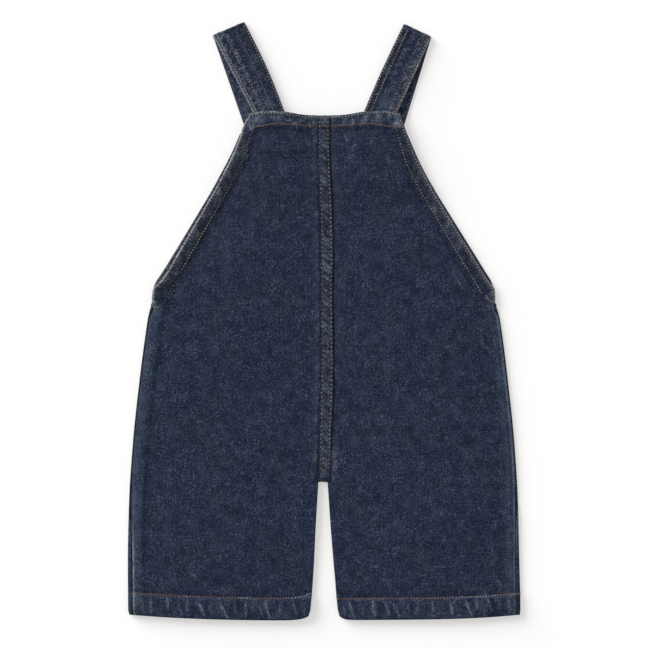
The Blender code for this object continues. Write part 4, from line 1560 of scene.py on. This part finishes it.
def strap_under(path, share, across):
    """The same for the run behind, from the fold to the end under the bib."""
    spot, _ = run_spot(path.lay, path.end, share, across)
    return np.concatenate([spot, run_rise(spot[..., 1])[..., None]], axis=-1)


def strap_bumps(along, from_left, from_right):
    left_wave = uneven_wave(along + 0.6 * from_left, BUMP_SPACING, 1.7)
    right_wave = uneven_wave(along - 0.6 * from_right, BUMP_SPACING, 3.1)
    bumps = BUMP_RISE * band(from_left, 4.6, 3, 0.5) * left_wave
    bumps = bumps + BUMP_RISE * band(from_right, 4.6, 3, 0.5) * right_wave
    grooves = sum(band(from_edge, line, 0.6, 0.6) for from_edge in (from_left, from_right)
                  for line in (STRAP_EDGE_LINE, STRAP_INNER_LINE))
    return bumps - STRAP_GROOVE * grooves


for strap in STRAPS:
    path = strap_path(strap)
    print(f"{strap.name}: {np.linalg.norm(path.lay[0] - path.caught[0]):.0f} mm of it show")

# %% [markdown]
# A curve with a bevelled section would pinch at the fold, so the strip is built ring by ring. Each ring is
# the strip's section, set square between a left and a right point.

# %% Sweep a strip along a path
EDGE_TURNS = np.radians([30, 60, 90, 120, 150])
STRIP_EDGE = 0.7


def section(width, wall, across):
    """A strip's section, once round: how far across each point is, and how deep under the outer face."""
    flat = STRIP_EDGE + across * (width - 2 * STRIP_EDGE)
    turned = STRIP_EDGE * np.sin(EDGE_TURNS)
    depth = wall / 2 * (1 - np.cos(EDGE_TURNS))
    at = np.concatenate([flat, width - STRIP_EDGE + turned, flat[::-1], STRIP_EDGE - turned[::-1]])
    outer, inner = np.zeros(len(flat)), np.full(len(flat), wall)
    return at, np.concatenate([outer, depth, inner, depth[::-1]])


def swept_strip(name, lefts, rights, normals, wall, across, bumps):
    rows, per = len(lefts), 2 * len(across) + 2 * len(EDGE_TURNS)
    points, at, along = np.empty((rows, per, 3)), np.empty((rows, per)), np.empty((rows, per))
    middles = (lefts + rights) / 2
    travelled = np.append(0, np.cumsum(np.linalg.norm(np.diff(middles, axis=0), axis=1)))
    for k in range(rows):
        width = float(np.linalg.norm(rights[k] - lefts[k]))
        at[k], depth = section(width, wall, across)
        along[k] = travelled[k]
        lift = bumps(along[k], at[k], width - at[k])
        lift[len(across):] = 0
        points[k] = mix(lefts[k], rights[k], (at[k] / width)[:, None]) + normals[k] * (lift - depth)[:, None]
    ring = np.arange(per)
    faces = [[k * per + j, k * per + (j + 1) % per, (k + 1) * per + (j + 1) % per, (k + 1) * per + j]
             for k in range(rows - 1) for j in ring]
    faces += [list(ring[::-1]), list(ring + (rows - 1) * per)]
    mesh = bpy.data.meshes.new(name)
    mesh.from_pydata((points.reshape(-1, 3) * MM).tolist(), [], faces)
    piece = bpy.data.objects.new(name, mesh)
    scene.collection.objects.link(piece)
    mesh.shade_smooth()
    width_at = at.max(axis=1)[:, None]
    return piece, along.ravel(), at.ravel(), (width_at - at).ravel()


print("points in a strap's ring:", len(section(26.0, STRAP_WALL, STRAP_ACROSS)[0]))

# %% [markdown]
# The rows go up the shown run, round the fold and back along the hidden run. One long edge of each strap is
# turned up to the light and rubbed the most: the left strap's left one, and the right strap's right one.

# %% Make the straps
FOLD_STEPS = 12
SHOWN_ROWS = 84
HIDDEN_ROWS = 92
STRAP_PLACE = (200, 60)
StrapWearAndShade = namedtuple("StrapWearAndShade", "rim twin left_zone right_zone under hidden_shade grey")
STRAP_WEAR_AND_SHADE = {
    "left_strap": StrapWearAndShade(0.58, 0.66, 0.12, 0.04, 0.1, 0, 0.45),
    "right_strap": StrapWearAndShade(0.86, 0.14, 0.04, 0.11, 0, 0.12, 1),
}


def strap_rows(path):
    ends = np.array([0, 1])
    rows, normals = [], []
    for share in np.linspace(0, 1, SHOWN_ROWS):
        rows.append(strap_top(path, share, ends))
        normals.append([0, 0, 1])
    for angle in np.pi * np.arange(1, FOLD_STEPS) / FOLD_STEPS:
        flat = path.lay + path.up * path.radius * np.sin(angle)
        rows.append(np.column_stack([flat, np.full(2, path.radius * (1 + np.cos(angle)))]))
        normals.append([path.up[0] * np.sin(angle), path.up[1] * np.sin(angle), np.cos(angle)])
    fold_row = len(rows)
    for share in np.linspace(0, 1, HIDDEN_ROWS):
        rows.append(strap_under(path, share, ends))
        normals.append([0, 0, -1])
    rows = np.array(rows)
    return rows[:, 0], rows[:, 1], np.array(normals), fold_row


def strap_masks(strap, along, from_left, from_right, fold_at):
    worn = STRAP_WEAR_AND_SHADE[strap.name]
    wide, fine = cloudy(along, from_left, 13, 61), cloudy(along, from_left, 1.8, 63)
    shown = fall(fold_at - 1, fold_at + 3, along)
    turned_up, calm = (from_left, from_right) if strap.name == "left_strap" else (from_right, from_left)
    fade = strongest(
        0.24 * band(calm, 0.7, 0.8, 0.6) * (0.4 + 0.6 * fine),
        worn.left_zone * band(from_left, 6.5, 6, 0.4) * ease(0.3, 0.8, fine) * 1.6,
        worn.right_zone * band(from_right, 4.6, 3.6, 0.4) * ease(0.3, 0.8, fine) * 1.6,
        worn.under * (1 - shown) * (0.2 + 0.9 * fine))
    shade = strongest(
        0.34 * band(calm, 4.8, 3.4, 0.3) * shown,
        0.55 * band(turned_up, 2.25, 0.4, 0.6) * shown,
        # Painted shade on the hidden run, which lies in the shown run's shadow.
        worn.hidden_shade * (1 - shown))
    teal = 0.45 * band(from_left, 13, 4, 0.6) * shown * ease(0.3, 0.7, wide)
    near_fold = 1 - 0.6 * ease(fold_at - 10, fold_at - 2, along)
    rim = worn.rim * mix(0.35, 1, shown) * (0.6 + 0.5 * wide) * near_fold
    return {"fade": fade, "shade": shade, "teal": teal, "edge": turned_up, "rim": rim,
            "twin": worn.twin * shown * (0.5 + 0.7 * wide), "grey": np.full(len(fade), worn.grey)}


def strap_piece(strap):
    lefts, rights, normals, fold_row = strap_rows(strap_path(strap))
    middles = (lefts + rights) / 2
    fold_at = float(np.linalg.norm(np.diff(middles[:fold_row + 1], axis=0), axis=1).sum())

    def bumps(along, from_left, from_right):
        shown = fall(fold_at - 3, fold_at, along)
        return strap_bumps(along, from_left, from_right) * ease(0, 3, along) * shown

    piece, along, from_left, from_right = swept_strip(
        f"{strap.name}_cloth", lefts, rights, normals, STRAP_WALL, STRAP_ACROSS, bumps)
    write_place(piece, from_left + STRAP_PLACE[0], along, STRAP_PLACE[1])
    masks = strap_masks(strap, along, from_left, from_right, fold_at)
    finish_cloth(piece, masks, strap.name)
    return piece


straps = {strap.name: strap_piece(strap) for strap in STRAPS}

# %% [markdown]
# ## The buttons
#
# A plain four-hole button holds each strap under the bib. It is a short cylinder with rounded edges, its
# outer face is inset and pushed in to leave a rim, and four small cylinders cut the thread holes.

# %% Make the buttons
BUTTON_SIDES = 40
HOLE_SIDES = 16
CUTTER_LENGTH = 20
BUTTON_ROUNDING = 0.28
BUTTON_SHARP = 35


def select_faces(piece, test):
    bpy.ops.object.mode_set(mode="OBJECT")
    for face in piece.data.polygons:
        face.select = bool(test(face))
    bpy.ops.object.mode_set(mode="EDIT")
    bpy.ops.mesh.select_mode(type="FACE")


def button_centre(strap):
    end = (np.array(strap.end_left) + np.array(strap.end_right)) / 2
    fold = (np.array(strap.fold_left) + np.array(strap.fold_right)) / 2
    return end + (fold - end) / np.linalg.norm(fold - end) * BUTTON_INSET


def cylinder(sides, diameter, height, x, y, z):
    bpy.ops.mesh.primitive_cylinder_add(vertices=sides, radius=diameter / 2 * MM, depth=height * MM,
                                        location=(x * MM, y * MM, z * MM))
    return bpy.context.object


def make_button(strap):
    x, y = button_centre(strap)
    made = cylinder(BUTTON_SIDES, BUTTON_DIAMETER, BUTTON_HEIGHT, x, y, BUTTON_HEIGHT / 2)
    made.name = strap.name.replace("strap", "resin_button")
    bpy.ops.object.transform_apply(location=True, rotation=True, scale=True)
    bpy.ops.object.mode_set(mode="EDIT")
    select_faces(made, lambda face: face.normal.z < -0.9)
    bpy.ops.mesh.inset(thickness=BUTTON_RIM * MM, depth=0)
    bpy.ops.mesh.inset(thickness=0.5 * MM, depth=-BUTTON_DISH * MM)
    bpy.ops.object.mode_set(mode="OBJECT")
    add_bevel(made, BUTTON_ROUNDING, BUTTON_SHARP)
    cutters = []
    for quarter in range(4):
        turn = math.radians(45 + 90 * quarter)
        hole_x, hole_y = x + BUTTON_HOLE_SPREAD * math.cos(turn), y + BUTTON_HOLE_SPREAD * math.sin(turn)
        cutters.append(cylinder(HOLE_SIDES, BUTTON_HOLE, CUTTER_LENGTH, hole_x, hole_y, 0))
        cut = made.modifiers.new(f"hole {quarter}", "BOOLEAN")
        cut.operation = "DIFFERENCE"
        cut.object = cutters[-1]
    bpy.ops.object.select_all(action="DESELECT")
    bpy.context.view_layer.objects.active = made
    made.select_set(True)
    apply_modifiers(made)
    bpy.ops.object.shade_smooth_by_angle(angle=math.radians(BUTTON_SHARP))
    for cutter in cutters:
        bpy.data.objects.remove(cutter, do_unlink=True)
    made.select_set(False)
    put_in_place(made, resin, strap.name.replace("strap", "button"))


RESIN_DARK = linear(52, 40, 33)
RESIN_PALE = linear(92, 74, 58)


def resin_material():
    made, tree, surface = new_material("button resin")
    where = add_node(tree, "ShaderNodeTexCoord").outputs["Object"]
    cloud = remap(tree, noise(tree, where, 260, 3, 0.6, 1), 0.35, 0.7)
    gloss = remap(tree, noise(tree, where, 2600, 2), 0.3, 0.7, 0.32, 0.5)
    brown = blend_colour(tree, cloud, RESIN_DARK, RESIN_PALE)
    feed(tree, surface, {"Base Color": brown, "Roughness": gloss})
    return made


resin = resin_material()
for strap in STRAPS:
    make_button(strap)

# %% [markdown]
# ## Thread
#
# A topstitch is a short fat piece of thread that rises out of the cloth and dives back in, 8 to the inch on
# the seam band and 10 on the facings. One is modelled, as a ball drawn out along its length, and copied.
# The thread was dyed tan and has worn unevenly: pale beige in places and rust in others.

# %% Model one stitch
def one_stitch():
    bpy.ops.mesh.primitive_uv_sphere_add(segments=8, ring_count=6, radius=0.5,
                                         rotation=(0, math.pi / 2, 0))
    made = bpy.context.object
    bpy.ops.object.transform_apply(location=True, rotation=True, scale=True)
    points = np.array([list(vertex.co) for vertex in made.data.vertices])
    faces = [list(face.vertices) for face in made.data.polygons]
    bpy.data.objects.remove(made, do_unlink=True)
    points[:, 0] = np.sign(points[:, 0]) * (2 * np.abs(points[:, 0])) ** 0.8 / 2
    return points, faces


STITCH_POINTS, STITCH_FACES = one_stitch()
print("one stitch:", len(STITCH_FACES), "faces")

# %% [markdown]
# Each row has its own thread and machine setting: `pitch` is from one stitch to the next, and the other
# sizes are those of the thread that shows, all in millimetres. Stitches longer than their pitch lie over
# one another, like a twisted cord.

# %% Space the stitches along a line
Thread = namedtuple("Thread", "pitch length width rise")
SEAM_THREAD = Thread(3.25, 2.15, 1.12, 0.66)
FACING_THREAD = Thread(2.45, 1.75, 0.82, 0.5)
FINE_THREAD = Thread(2.45, 2.35, 0.66, 0.44)
NECK_THREAD = Thread(2.45, 2.5, 0.95, 0.5)
DOT_THREAD = Thread(2.9, 1.6, 1.35, 0.34)
HEM_THREAD = Thread(2.35, 2.75, 1.1, 0.6)
STRAP_THREAD = Thread(2.45, 1.7, 0.88, 0.44)


def along_line(points, pitch):
    """Spots at an even pitch along a line of points, with the direction of the line at each."""
    points = np.asarray(points, float)
    lengths = np.append(0, np.cumsum(np.linalg.norm(np.diff(points, axis=0), axis=1)))
    at = (np.arange(int(lengths[-1] / pitch)) + 0.5) * pitch

    def spots(distance):
        return np.stack([np.interp(distance, lengths, points[:, k]) for k in range(points.shape[1])], axis=1)

    ahead = spots(at + 0.35 * pitch) - spots(at - 0.35 * pitch)
    return spots(at), ahead / np.linalg.norm(ahead, axis=1, keepdims=True)


spots, _ = along_line([(0, 0), (0, 100)], SEAM_THREAD.pitch)
print("stitches in 100 mm of the seam:", len(spots))

# %% [markdown]
# Each copy is turned to its line, tipped to the cloth and made a little longer, paler or rustier than the
# next by chance. A dark dent between two is where the needle went in.

# %% Place copies of the stitch
LENGTH_RANGE = (0.86, 1.08)
WIDTH_RANGE = (0.88, 1.12)
TURN_SCATTER = 4
TONE_SCATTER = 0.1
ARCH = -0.12
DENT_WIDTH, DENT_HEIGHT, DENT_LIFT = 1.25, 0.24, 0.02
USUAL_HOLES = 0.85


def place_stitches(spots, ahead, up, thread, pale, rust, seed, slant=0, holes=0):
    """Stitches as points, with the paleness, the rust and the darkness of each, the dents last."""
    draw = np.random.default_rng(seed)
    count, up = len(spots), np.broadcast_to(up, spots.shape)
    length = thread.length * draw.uniform(*LENGTH_RANGE, count)
    width = thread.width * draw.uniform(*WIDTH_RANGE, count)
    side = np.cross(up, ahead)
    turn = np.radians(slant + draw.normal(0, TURN_SCATTER, count))[:, None]
    forward = ahead * np.cos(turn) + side * np.sin(turn)
    side = np.cross(up, forward)
    local = STITCH_POINTS[None] * np.stack([length, width, np.full(count, thread.rise)], axis=1)[:, None]
    arch = ARCH * (2 * STITCH_POINTS[:, 0]) ** 2
    placed = (spots[:, None] + local[..., :1] * forward[:, None] + local[..., 1:2] * side[:, None]
              + (local[..., 2:] + arch[None, :, None]) * up[:, None])
    pale = np.clip(pale + draw.normal(0, TONE_SCATTER, count), 0, 1)
    rust = np.clip(rust + draw.normal(0, TONE_SCATTER, count), 0, 1)
    if not holes:
        return placed, pale, rust, np.zeros(count)
    dent = STITCH_POINTS * [thread.pitch - thread.length + 0.5, thread.width * DENT_WIDTH, DENT_HEIGHT]
    middles = spots + ahead * thread.pitch / 2
    dents = (middles[:, None] + dent[None, :, :1] * ahead[:, None] + dent[None, :, 1:2] * side[:, None]
             + (dent[None, :, 2:] + DENT_LIFT) * up[:, None])
    none = np.zeros(count)
    return (np.concatenate([placed, dents]), np.append(pale, none), np.append(rust, none),
            np.append(none, np.full(count, holes)))


print(f"a stitch's length varies from {LENGTH_RANGE[0]} to {LENGTH_RANGE[1]} of its thread's")

# %% [markdown]
# The finish mixes its colours by the numbers that each stitch carries: `pale`, `rust` and, for a dent,
# `hole`. The twist along the thread is bump.

# %% Make the thread's finish
THREAD_DULL = linear(56, 54, 60)
THREAD_PALE = linear(166, 168, 170)
THREAD_RUST = linear(130, 91, 66)
THREAD_SHADOW = linear(60, 56, 60)
NEEDLE_HOLE = linear(14, 16, 24)
TWIST_SCALE = 2400


def thread_material():
    made, tree, surface = new_material("topstitching thread")
    where = add_node(tree, "ShaderNodeTexCoord").outputs["Object"]
    twist = noise(tree, where, TWIST_SCALE, 2)
    colour = blend_colour(tree, point_number(tree, "pale"), THREAD_DULL, THREAD_PALE)
    colour = blend_colour(tree, point_number(tree, "rust"), colour, THREAD_RUST)
    colour = blend_colour(tree, remap(tree, twist, 0.3, 0.7, 0, 0.4), colour, THREAD_SHADOW)
    colour = blend_colour(tree, point_number(tree, "hole"), colour, NEEDLE_HOLE)
    feed(tree, surface, {"Base Color": colour, "Specular IOR Level": 0.2, "Roughness": 0.8,
                         "Normal": bump(tree, twist, 0.1 * MM)})
    return made


thread_look = thread_material()
print("thread material:", len(thread_look.node_tree.nodes), "nodes")

# %% [markdown]
# All the stitches of one job become one piece, since hundreds of objects would be slow to handle. Each
# keeps its own tone, because the tones are stored at the points.

# %% Join the stitches of a job
def sew(name, batches):
    placed = np.concatenate([batch[0] for batch in batches])
    count, per = placed.shape[:2]
    faces = [[index + per * k for index in face] for k in range(count) for face in STITCH_FACES]
    mesh = bpy.data.meshes.new(name)
    mesh.from_pydata((placed.reshape(-1, 3) * MM).tolist(), [], faces)
    piece = bpy.data.objects.new(name, mesh)
    scene.collection.objects.link(piece)
    mesh.shade_smooth()
    for key, column in (("pale", 1), ("rust", 2), ("hole", 3)):
        write_attribute(piece, key, np.repeat(np.concatenate([batch[column] for batch in batches]), per))
    mesh.materials.append(thread_look)
    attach(piece, "root")
    print(f"{name}: {count} stitches and needle holes")


print("points in one stitch:", len(STITCH_POINTS))

# %% [markdown]
# A stitch lies on whatever is uppermost under it, the seam band included, and tips with the cloth. The
# seam's two rows are dull and brown, rustier at the neck, and paler on the right, where the fold lifts them
# to the light.

# %% Stitch the centre seam
STITCH_LIFT = 0.04
SeamRow = namedtuple("SeamRow", "pale rust seed")
SEAM_ROWS = {"left": SeamRow(0.16, 0.06, 11), "right": SeamRow(0.38, 0.24, 12)}
SEAM_ROW_TOP = 159.8


def back_top(x, y):
    y = np.asarray(y, float)
    x = np.clip(np.asarray(x, float), back_edge("left", y) + 0.4, back_edge("right", y) - 0.4)
    height = np.where(x < SEAM_MIDDLE(y), back_height("left", x, y), back_height("right", x, y))
    off = band_off(x, y)
    on_band = (off > FELL_LEFT) & (off < FELL_RIGHT) & (y > CROTCH)
    return np.where(on_band, np.maximum(height, fell_height(off, y)), height)


def on_back(points, thread, pale, rust, seed, slant=0, holes=USUAL_HOLES):
    spots, ahead = along_line(points, thread.pitch)
    x, y = spots.T
    half = thread.length / 2
    front_x, front_y = (spots + ahead * half).T
    rear_x, rear_y = (spots - ahead * half).T
    climb = (back_top(front_x, front_y) - back_top(rear_x, rear_y)) / thread.length
    direction = np.column_stack([ahead, climb])
    direction /= np.linalg.norm(direction, axis=1, keepdims=True)
    side = np.column_stack([-ahead[:, 1], ahead[:, 0], np.zeros(len(x))])
    up = np.cross(direction, side)
    spots = np.column_stack([x, y, back_top(x, y) + STITCH_LIFT])
    pale, rust = (value(x, y) if callable(value) else value for value in (pale, rust))
    return place_stitches(spots, direction, up, thread, pale, rust, seed, slant, holes)


def seam_tones(kind):
    def foot(y):
        return 0.34 * fall(-110, -96, y)

    def pale(x, y):
        return kind.pale + 0.3 * (cloudy(0 * y, y, 17, 14) - 0.5) - 1.5 * foot(y)

    def rust(x, y):
        return kind.rust + foot(y) + 0.6 * ease(138, 150, y) + 0.18 * cloudy(0 * y, y, 26, 12)

    return pale, rust


def seam_stitches():
    heights = np.linspace(SEAM_ROW_TOP, CROTCH + 5.5, 140)
    batches = []
    for side, kind in SEAM_ROWS.items():
        line = np.column_stack([band_x(FELL_LINE[side], heights), heights])
        batches.append(on_back(line, SEAM_THREAD, *seam_tones(kind), kind.seed))
    sew("seam_topstitching", batches)


seam_stitches()

# %% [markdown]
# The back's other rows follow its edges: two along the neck, two down each armhole and one along each hem.
# The inner row turns from the neck into the armhole round a corner, so it is drawn as a line of points
# first.

# %% Draw the rows of the back
STRAIGHT_FROM = 40
ARMHOLE_FOOT = {"left": 17, "right": 19}
CORNER_HEIGHT = 146
CORNER_RADIUS = 5.5
HEM_BEYOND = 3.9
HEM_INSIDE = 0.6


def armhole_line(side, distance, low, high):
    """A line at a distance square to the armhole's edge, which runs straight on at its foot."""
    def beside_edge(heights, gap):
        across = back_edge(side, heights) - SIGN[side] * gap / edge_slope(side, heights)
        return np.column_stack([across, heights])

    heights = np.linspace(high, max(low, STRAIGHT_FROM), 90)
    line = beside_edge(heights, distance(heights) if callable(distance) else distance)
    if low < STRAIGHT_FROM and callable(distance):
        run = (line[-1] - line[-8]) / (line[-1, 1] - line[-8, 1])
        line = np.vstack([line, line[-1] + run * (low - STRAIGHT_FROM)])
    elif low < STRAIGHT_FROM:
        line = np.vstack([line, beside_edge(np.linspace(STRAIGHT_FROM, low, 20)[1:], distance)])
    return line


def corner_line(side):
    down = armhole_line(side, armhole_inner_line, ARMHOLE_FOOT[side], CORNER_HEIGHT)
    turn = np.linspace(0, np.pi / 2, 8)[:-1]
    middle = down[0] + np.array([-SIGN[side] * CORNER_RADIUS, 0])
    bend = middle + CORNER_RADIUS * np.column_stack([SIGN[side] * np.sin(turn), np.cos(turn)])
    across = np.linspace(0, bend[0, 0], 40)
    top = np.column_stack([across, np.minimum(neck_line_height(across), bend[0, 1] + 3)])
    top[:, 1] = mix(top[:, 1], bend[0, 1], ease(0.72, 1, np.linspace(0, 1, 40)))
    return np.vstack([top[:-1], bend, down])


def neck_edge_line(side):
    across = np.linspace(SIGN[side] * 1, SIGN[side] * 57, 60)
    u = across_panel(side, across, np.full(60, NECK_HEIGHT))
    return np.column_stack([across, NECK_HEIGHT + neck_shift(u) - NECK_UPPER])


def hem_line(side):
    outer = EDGE[side](HEM_HEIGHT) + SIGN[side] * HEM_BEYOND
    inner = LEG[side](HEM_HEIGHT + HEM_DEPTH) + SIGN[side] * HEM_INSIDE
    across = np.linspace(inner, outer, 90)
    edge = hem_edge(side, across if side == "left" else np.maximum(across, inner + 12))
    return np.column_stack([across, edge + HEM_LINE[side]])


print("points along the left inner row:", len(corner_line("left")))

# %% [markdown]
# The thread is orange in the middle of the neck, bleached and rusty by turns along the hems, dull down the
# left armhole and pale down the right one. Each tone is a function of the place: `pale` goes from dull to
# pale, and `rust` from grey to orange.

# %% Stitch the neck, armholes and hems of the back
CORNER_FOOT = 146.5
HEM_SLANT = 34
BackRow = namedtuple("BackRow", "points thread pale rust seed slant holes", defaults=(0, USUAL_HOLES))


def neck_pale(x, y):
    return 0.08 + 0.26 * cloudy(x, y, 16, 21)


def neck_rust(x, y):
    near_neck = ease(140, 148, y)
    orange = np.clip(0.95 - np.abs(x) / 9, 0, 1) * near_neck
    return np.maximum(orange, 0.62 * near_neck * band(np.abs(x), 30, 30, 0.5))


def left_pale(x, y):
    return 0.12 + 0.4 * ease(30, 50, y) * fall(72, 92, y) + 0.12 * cloudy(x, y, 9, 25)


def left_rust(x, y):
    return 0.06 + 0.14 * fall(26, 44, y)


def right_pale(x, y):
    return 0.4 + 0.22 * cloudy(x, y, 12, 26)


def bleached(x):
    return ease(0.45, 0.75, cloudy(x, 0 * x, 21, 24))


def hem_pale(x, y):
    return 0.02 + 0.46 * bleached(x)


def hem_rust(x, y):
    return 0.62 - 0.44 * bleached(x)


ARMHOLE_TONES = {"left": (left_pale, left_rust), "right": (right_pale, 0.08)}
OUTER_TONES = {"left": (0.3, 0), "right": (0.62, 0.14)}


def back_rows(side):
    inner = corner_line(side)
    turn = int(np.argmax(inner[:, 1] < CORNER_FOOT))
    outer = armhole_line(side, ARMHOLE_OUTER, 17, 157)
    return (BackRow(inner[:turn + 1], NECK_THREAD, neck_pale, neck_rust, 0, holes=0.6),
            BackRow(inner[turn:], FACING_THREAD, *ARMHOLE_TONES[side], 4),
            BackRow(neck_edge_line(side), FACING_THREAD, 0.42, 0.05, 1),
            BackRow(outer, FACING_THREAD, *OUTER_TONES[side], 2),
            BackRow(hem_line(side), HEM_THREAD, hem_pale, hem_rust, 3, slant=HEM_SLANT, holes=0.4))


def back_stitches():
    batches = []
    for side, seed in (("left", 20), ("right", 40)):
        for row in back_rows(side):
            batches.append(on_back(*row._replace(seed=seed + row.seed)))
    sew("back_topstitching", batches)


back_stitches()

# %% [markdown]
# A bar tack is a short close zigzag that keeps an edge from tearing. One lies over each underarm corner,
# made of stitches side by side, square to the corner's line.

# %% Bar tacks at the ends of the armholes
TACK_THREAD = Thread(0.62, 1.5, 0.5, 0.6)
TACK_LIFT = 0.35
UP, DOWN = np.array([0, 0, 1]), np.array([0, 0, -1])
TACK_LINES = {
    "left": [(-134.4, 12.6), (-132.4, 10.4), (-130, 10.2), (-128.6, 11.6)],
    "right": [(126.4, 20), (127.8, 17.3), (129.8, 15.3), (132, 14.7), (134.1, 14.9)],
}


def bar_tacks():
    batches = []
    for side, points in TACK_LINES.items():
        spots, ahead = along_line(points, TACK_THREAD.pitch)
        x, y = spots.T
        across = np.column_stack([-ahead[:, 1], ahead[:, 0], np.zeros(len(x))])
        place = np.column_stack([x, y, back_height(side, x, y) + TACK_LIFT])
        batches.append(place_stitches(place, across, UP, TACK_THREAD, 0.62, 0.34, 70))
    sew("bar_tacks", batches)


bar_tacks()

# %% [markdown]
# `across` is a row's distance from the strap's left edge, or from its right edge if it is negative. One row
# of the left strap has lost its thread and shows only its needle holes. The rows go on along the hidden
# run, on the strap's other face.

# %% Stitch the straps
NO_THREAD = -1
OPEN_HOLES = 0.97
GROOVE_DEPTH, RIDGE_DEPTH, HIDDEN_DEPTH = 0.12, -0.08, -0.1
StrapLine = namedtuple("StrapLine", "across pale rust thread")
STRAP_LINES = {
    "left_strap": (StrapLine(1.9, 0.34, 0, STRAP_THREAD), StrapLine(8, 0.52, 0, STRAP_THREAD),
                   StrapLine(10.6, NO_THREAD, 0, DOT_THREAD),
                   StrapLine(-8, 0.42, 0.34, FINE_THREAD), StrapLine(-1.2, 0.58, 0.2, STRAP_THREAD)),
    "right_strap": (StrapLine(1.2, 0.78, 0.16, STRAP_THREAD), StrapLine(5.2, 0.74, 0.4, FINE_THREAD),
                    StrapLine(-8, 0.16, 0, STRAP_THREAD), StrapLine(-1.9, 0.5, 0.08, STRAP_THREAD)),
}


def strap_row(path, line, number, shown):
    width = float(np.linalg.norm(path.caught[1] - path.caught[0]))
    across = line.across / width if line.across > 0 else 1 + line.across / width
    run, end = (strap_top, 1) if shown else (strap_under, 0.97)
    points = run(path, np.linspace(0.015, end, 80), np.full(80, across))
    spots, ahead = along_line(points, line.thread.pitch)
    side = np.cross(UP if shown else DOWN, ahead)
    up = np.cross(ahead, side / np.linalg.norm(side, axis=1, keepdims=True))
    in_groove = abs(line.across) in (STRAP_EDGE_LINE, STRAP_INNER_LINE)
    depth = (GROOVE_DEPTH if in_groove else RIDGE_DEPTH) if shown else HIDDEN_DEPTH
    pale = max(line.pale, 0)
    height = spots[:, 1]
    rust = line.rust * (0.4 + 1.2 * cloudy(height, 0 * height, 14, number + 50))
    holes = USUAL_HOLES if shown and line.thread is STRAP_THREAD else 0
    spots = spots - [0, 0, depth]
    batch = place_stitches(spots, ahead, up, line.thread, pale, rust, 80 + number, holes=holes)
    if line.pale == NO_THREAD:
        batch = batch[:3] + (np.full(len(batch[1]), OPEN_HOLES),)
    return batch


def strap_stitches():
    batches = []
    for strap in STRAPS:
        path = strap_path(strap)
        for number, line in enumerate(STRAP_LINES[strap.name]):
            batches += [strap_row(path, line, number, shown) for shown in (True, False)]
    sew("strap_topstitching", batches)


strap_stitches()

# %% [markdown]
# The front's stitches are on its underside, which shows only when the part is turned over. They lie in the
# front's own grooves.

# %% Stitch the front, which lies on the table
def on_front(points, thread, pale, rust, seed):
    spots, ahead = along_line(points, thread.pitch)
    x, y = spots.T
    direction = np.column_stack([ahead, np.zeros(len(x))])
    place = np.column_stack([x, y, front_lift(x, y) + GROOVE])
    return place_stitches(place, direction, DOWN, thread, pale, rust, seed)


def front_stitches():
    batches = []
    for side, seed in (("left", 100), ("right", 120)):
        sign = SIGN[side]
        heights = np.linspace(BIB_HEIGHT - 3, SEAM_TOP + 10, 90)
        edge = EDGE[side](heights) + sign * ROLL[side](heights)
        line = np.column_stack([edge - sign * ARMHOLE_INNER / edge_slope(side, heights), heights])
        batches.append(on_front(line, FACING_THREAD, 0.4, 0.2, seed))
        across = np.linspace(sign * 1.5, sign * 53, 60)
        u = across_panel(side, across, np.full(60, BIB_HEIGHT))
        line = np.column_stack([across, BIB_HEIGHT + neck_shift(u) - FRONT_NECK_LINE])
        batches.append(on_front(line, FACING_THREAD, 0.4, 0.4, seed + 1))
        outer, inner = EDGE[side](HEM_HEIGHT), LEG[side](HEM_HEIGHT + HEM_DEPTH) + sign * 0.8
        across = np.linspace(inner, outer, 90)
        line = np.column_stack([across, hem_edge(side, across) + HEM_LINE[side]])
        batches.append(on_front(line, HEM_THREAD, 0.35, 0.4, seed + 2))
    sew("front_topstitching", batches)


front_stitches()

SEAM_ALLOWANCE = 10
WIDEST_HEIGHT = -186.5

for side in SIDES:
    width = (abs(EDGE[side](WIDEST_HEIGHT)) + 2 * SEAM_ALLOWANCE) * MM

# %% [markdown]
# ## Compare the sizes and finish
# The finished pieces should stay close to the plain model that they replace.
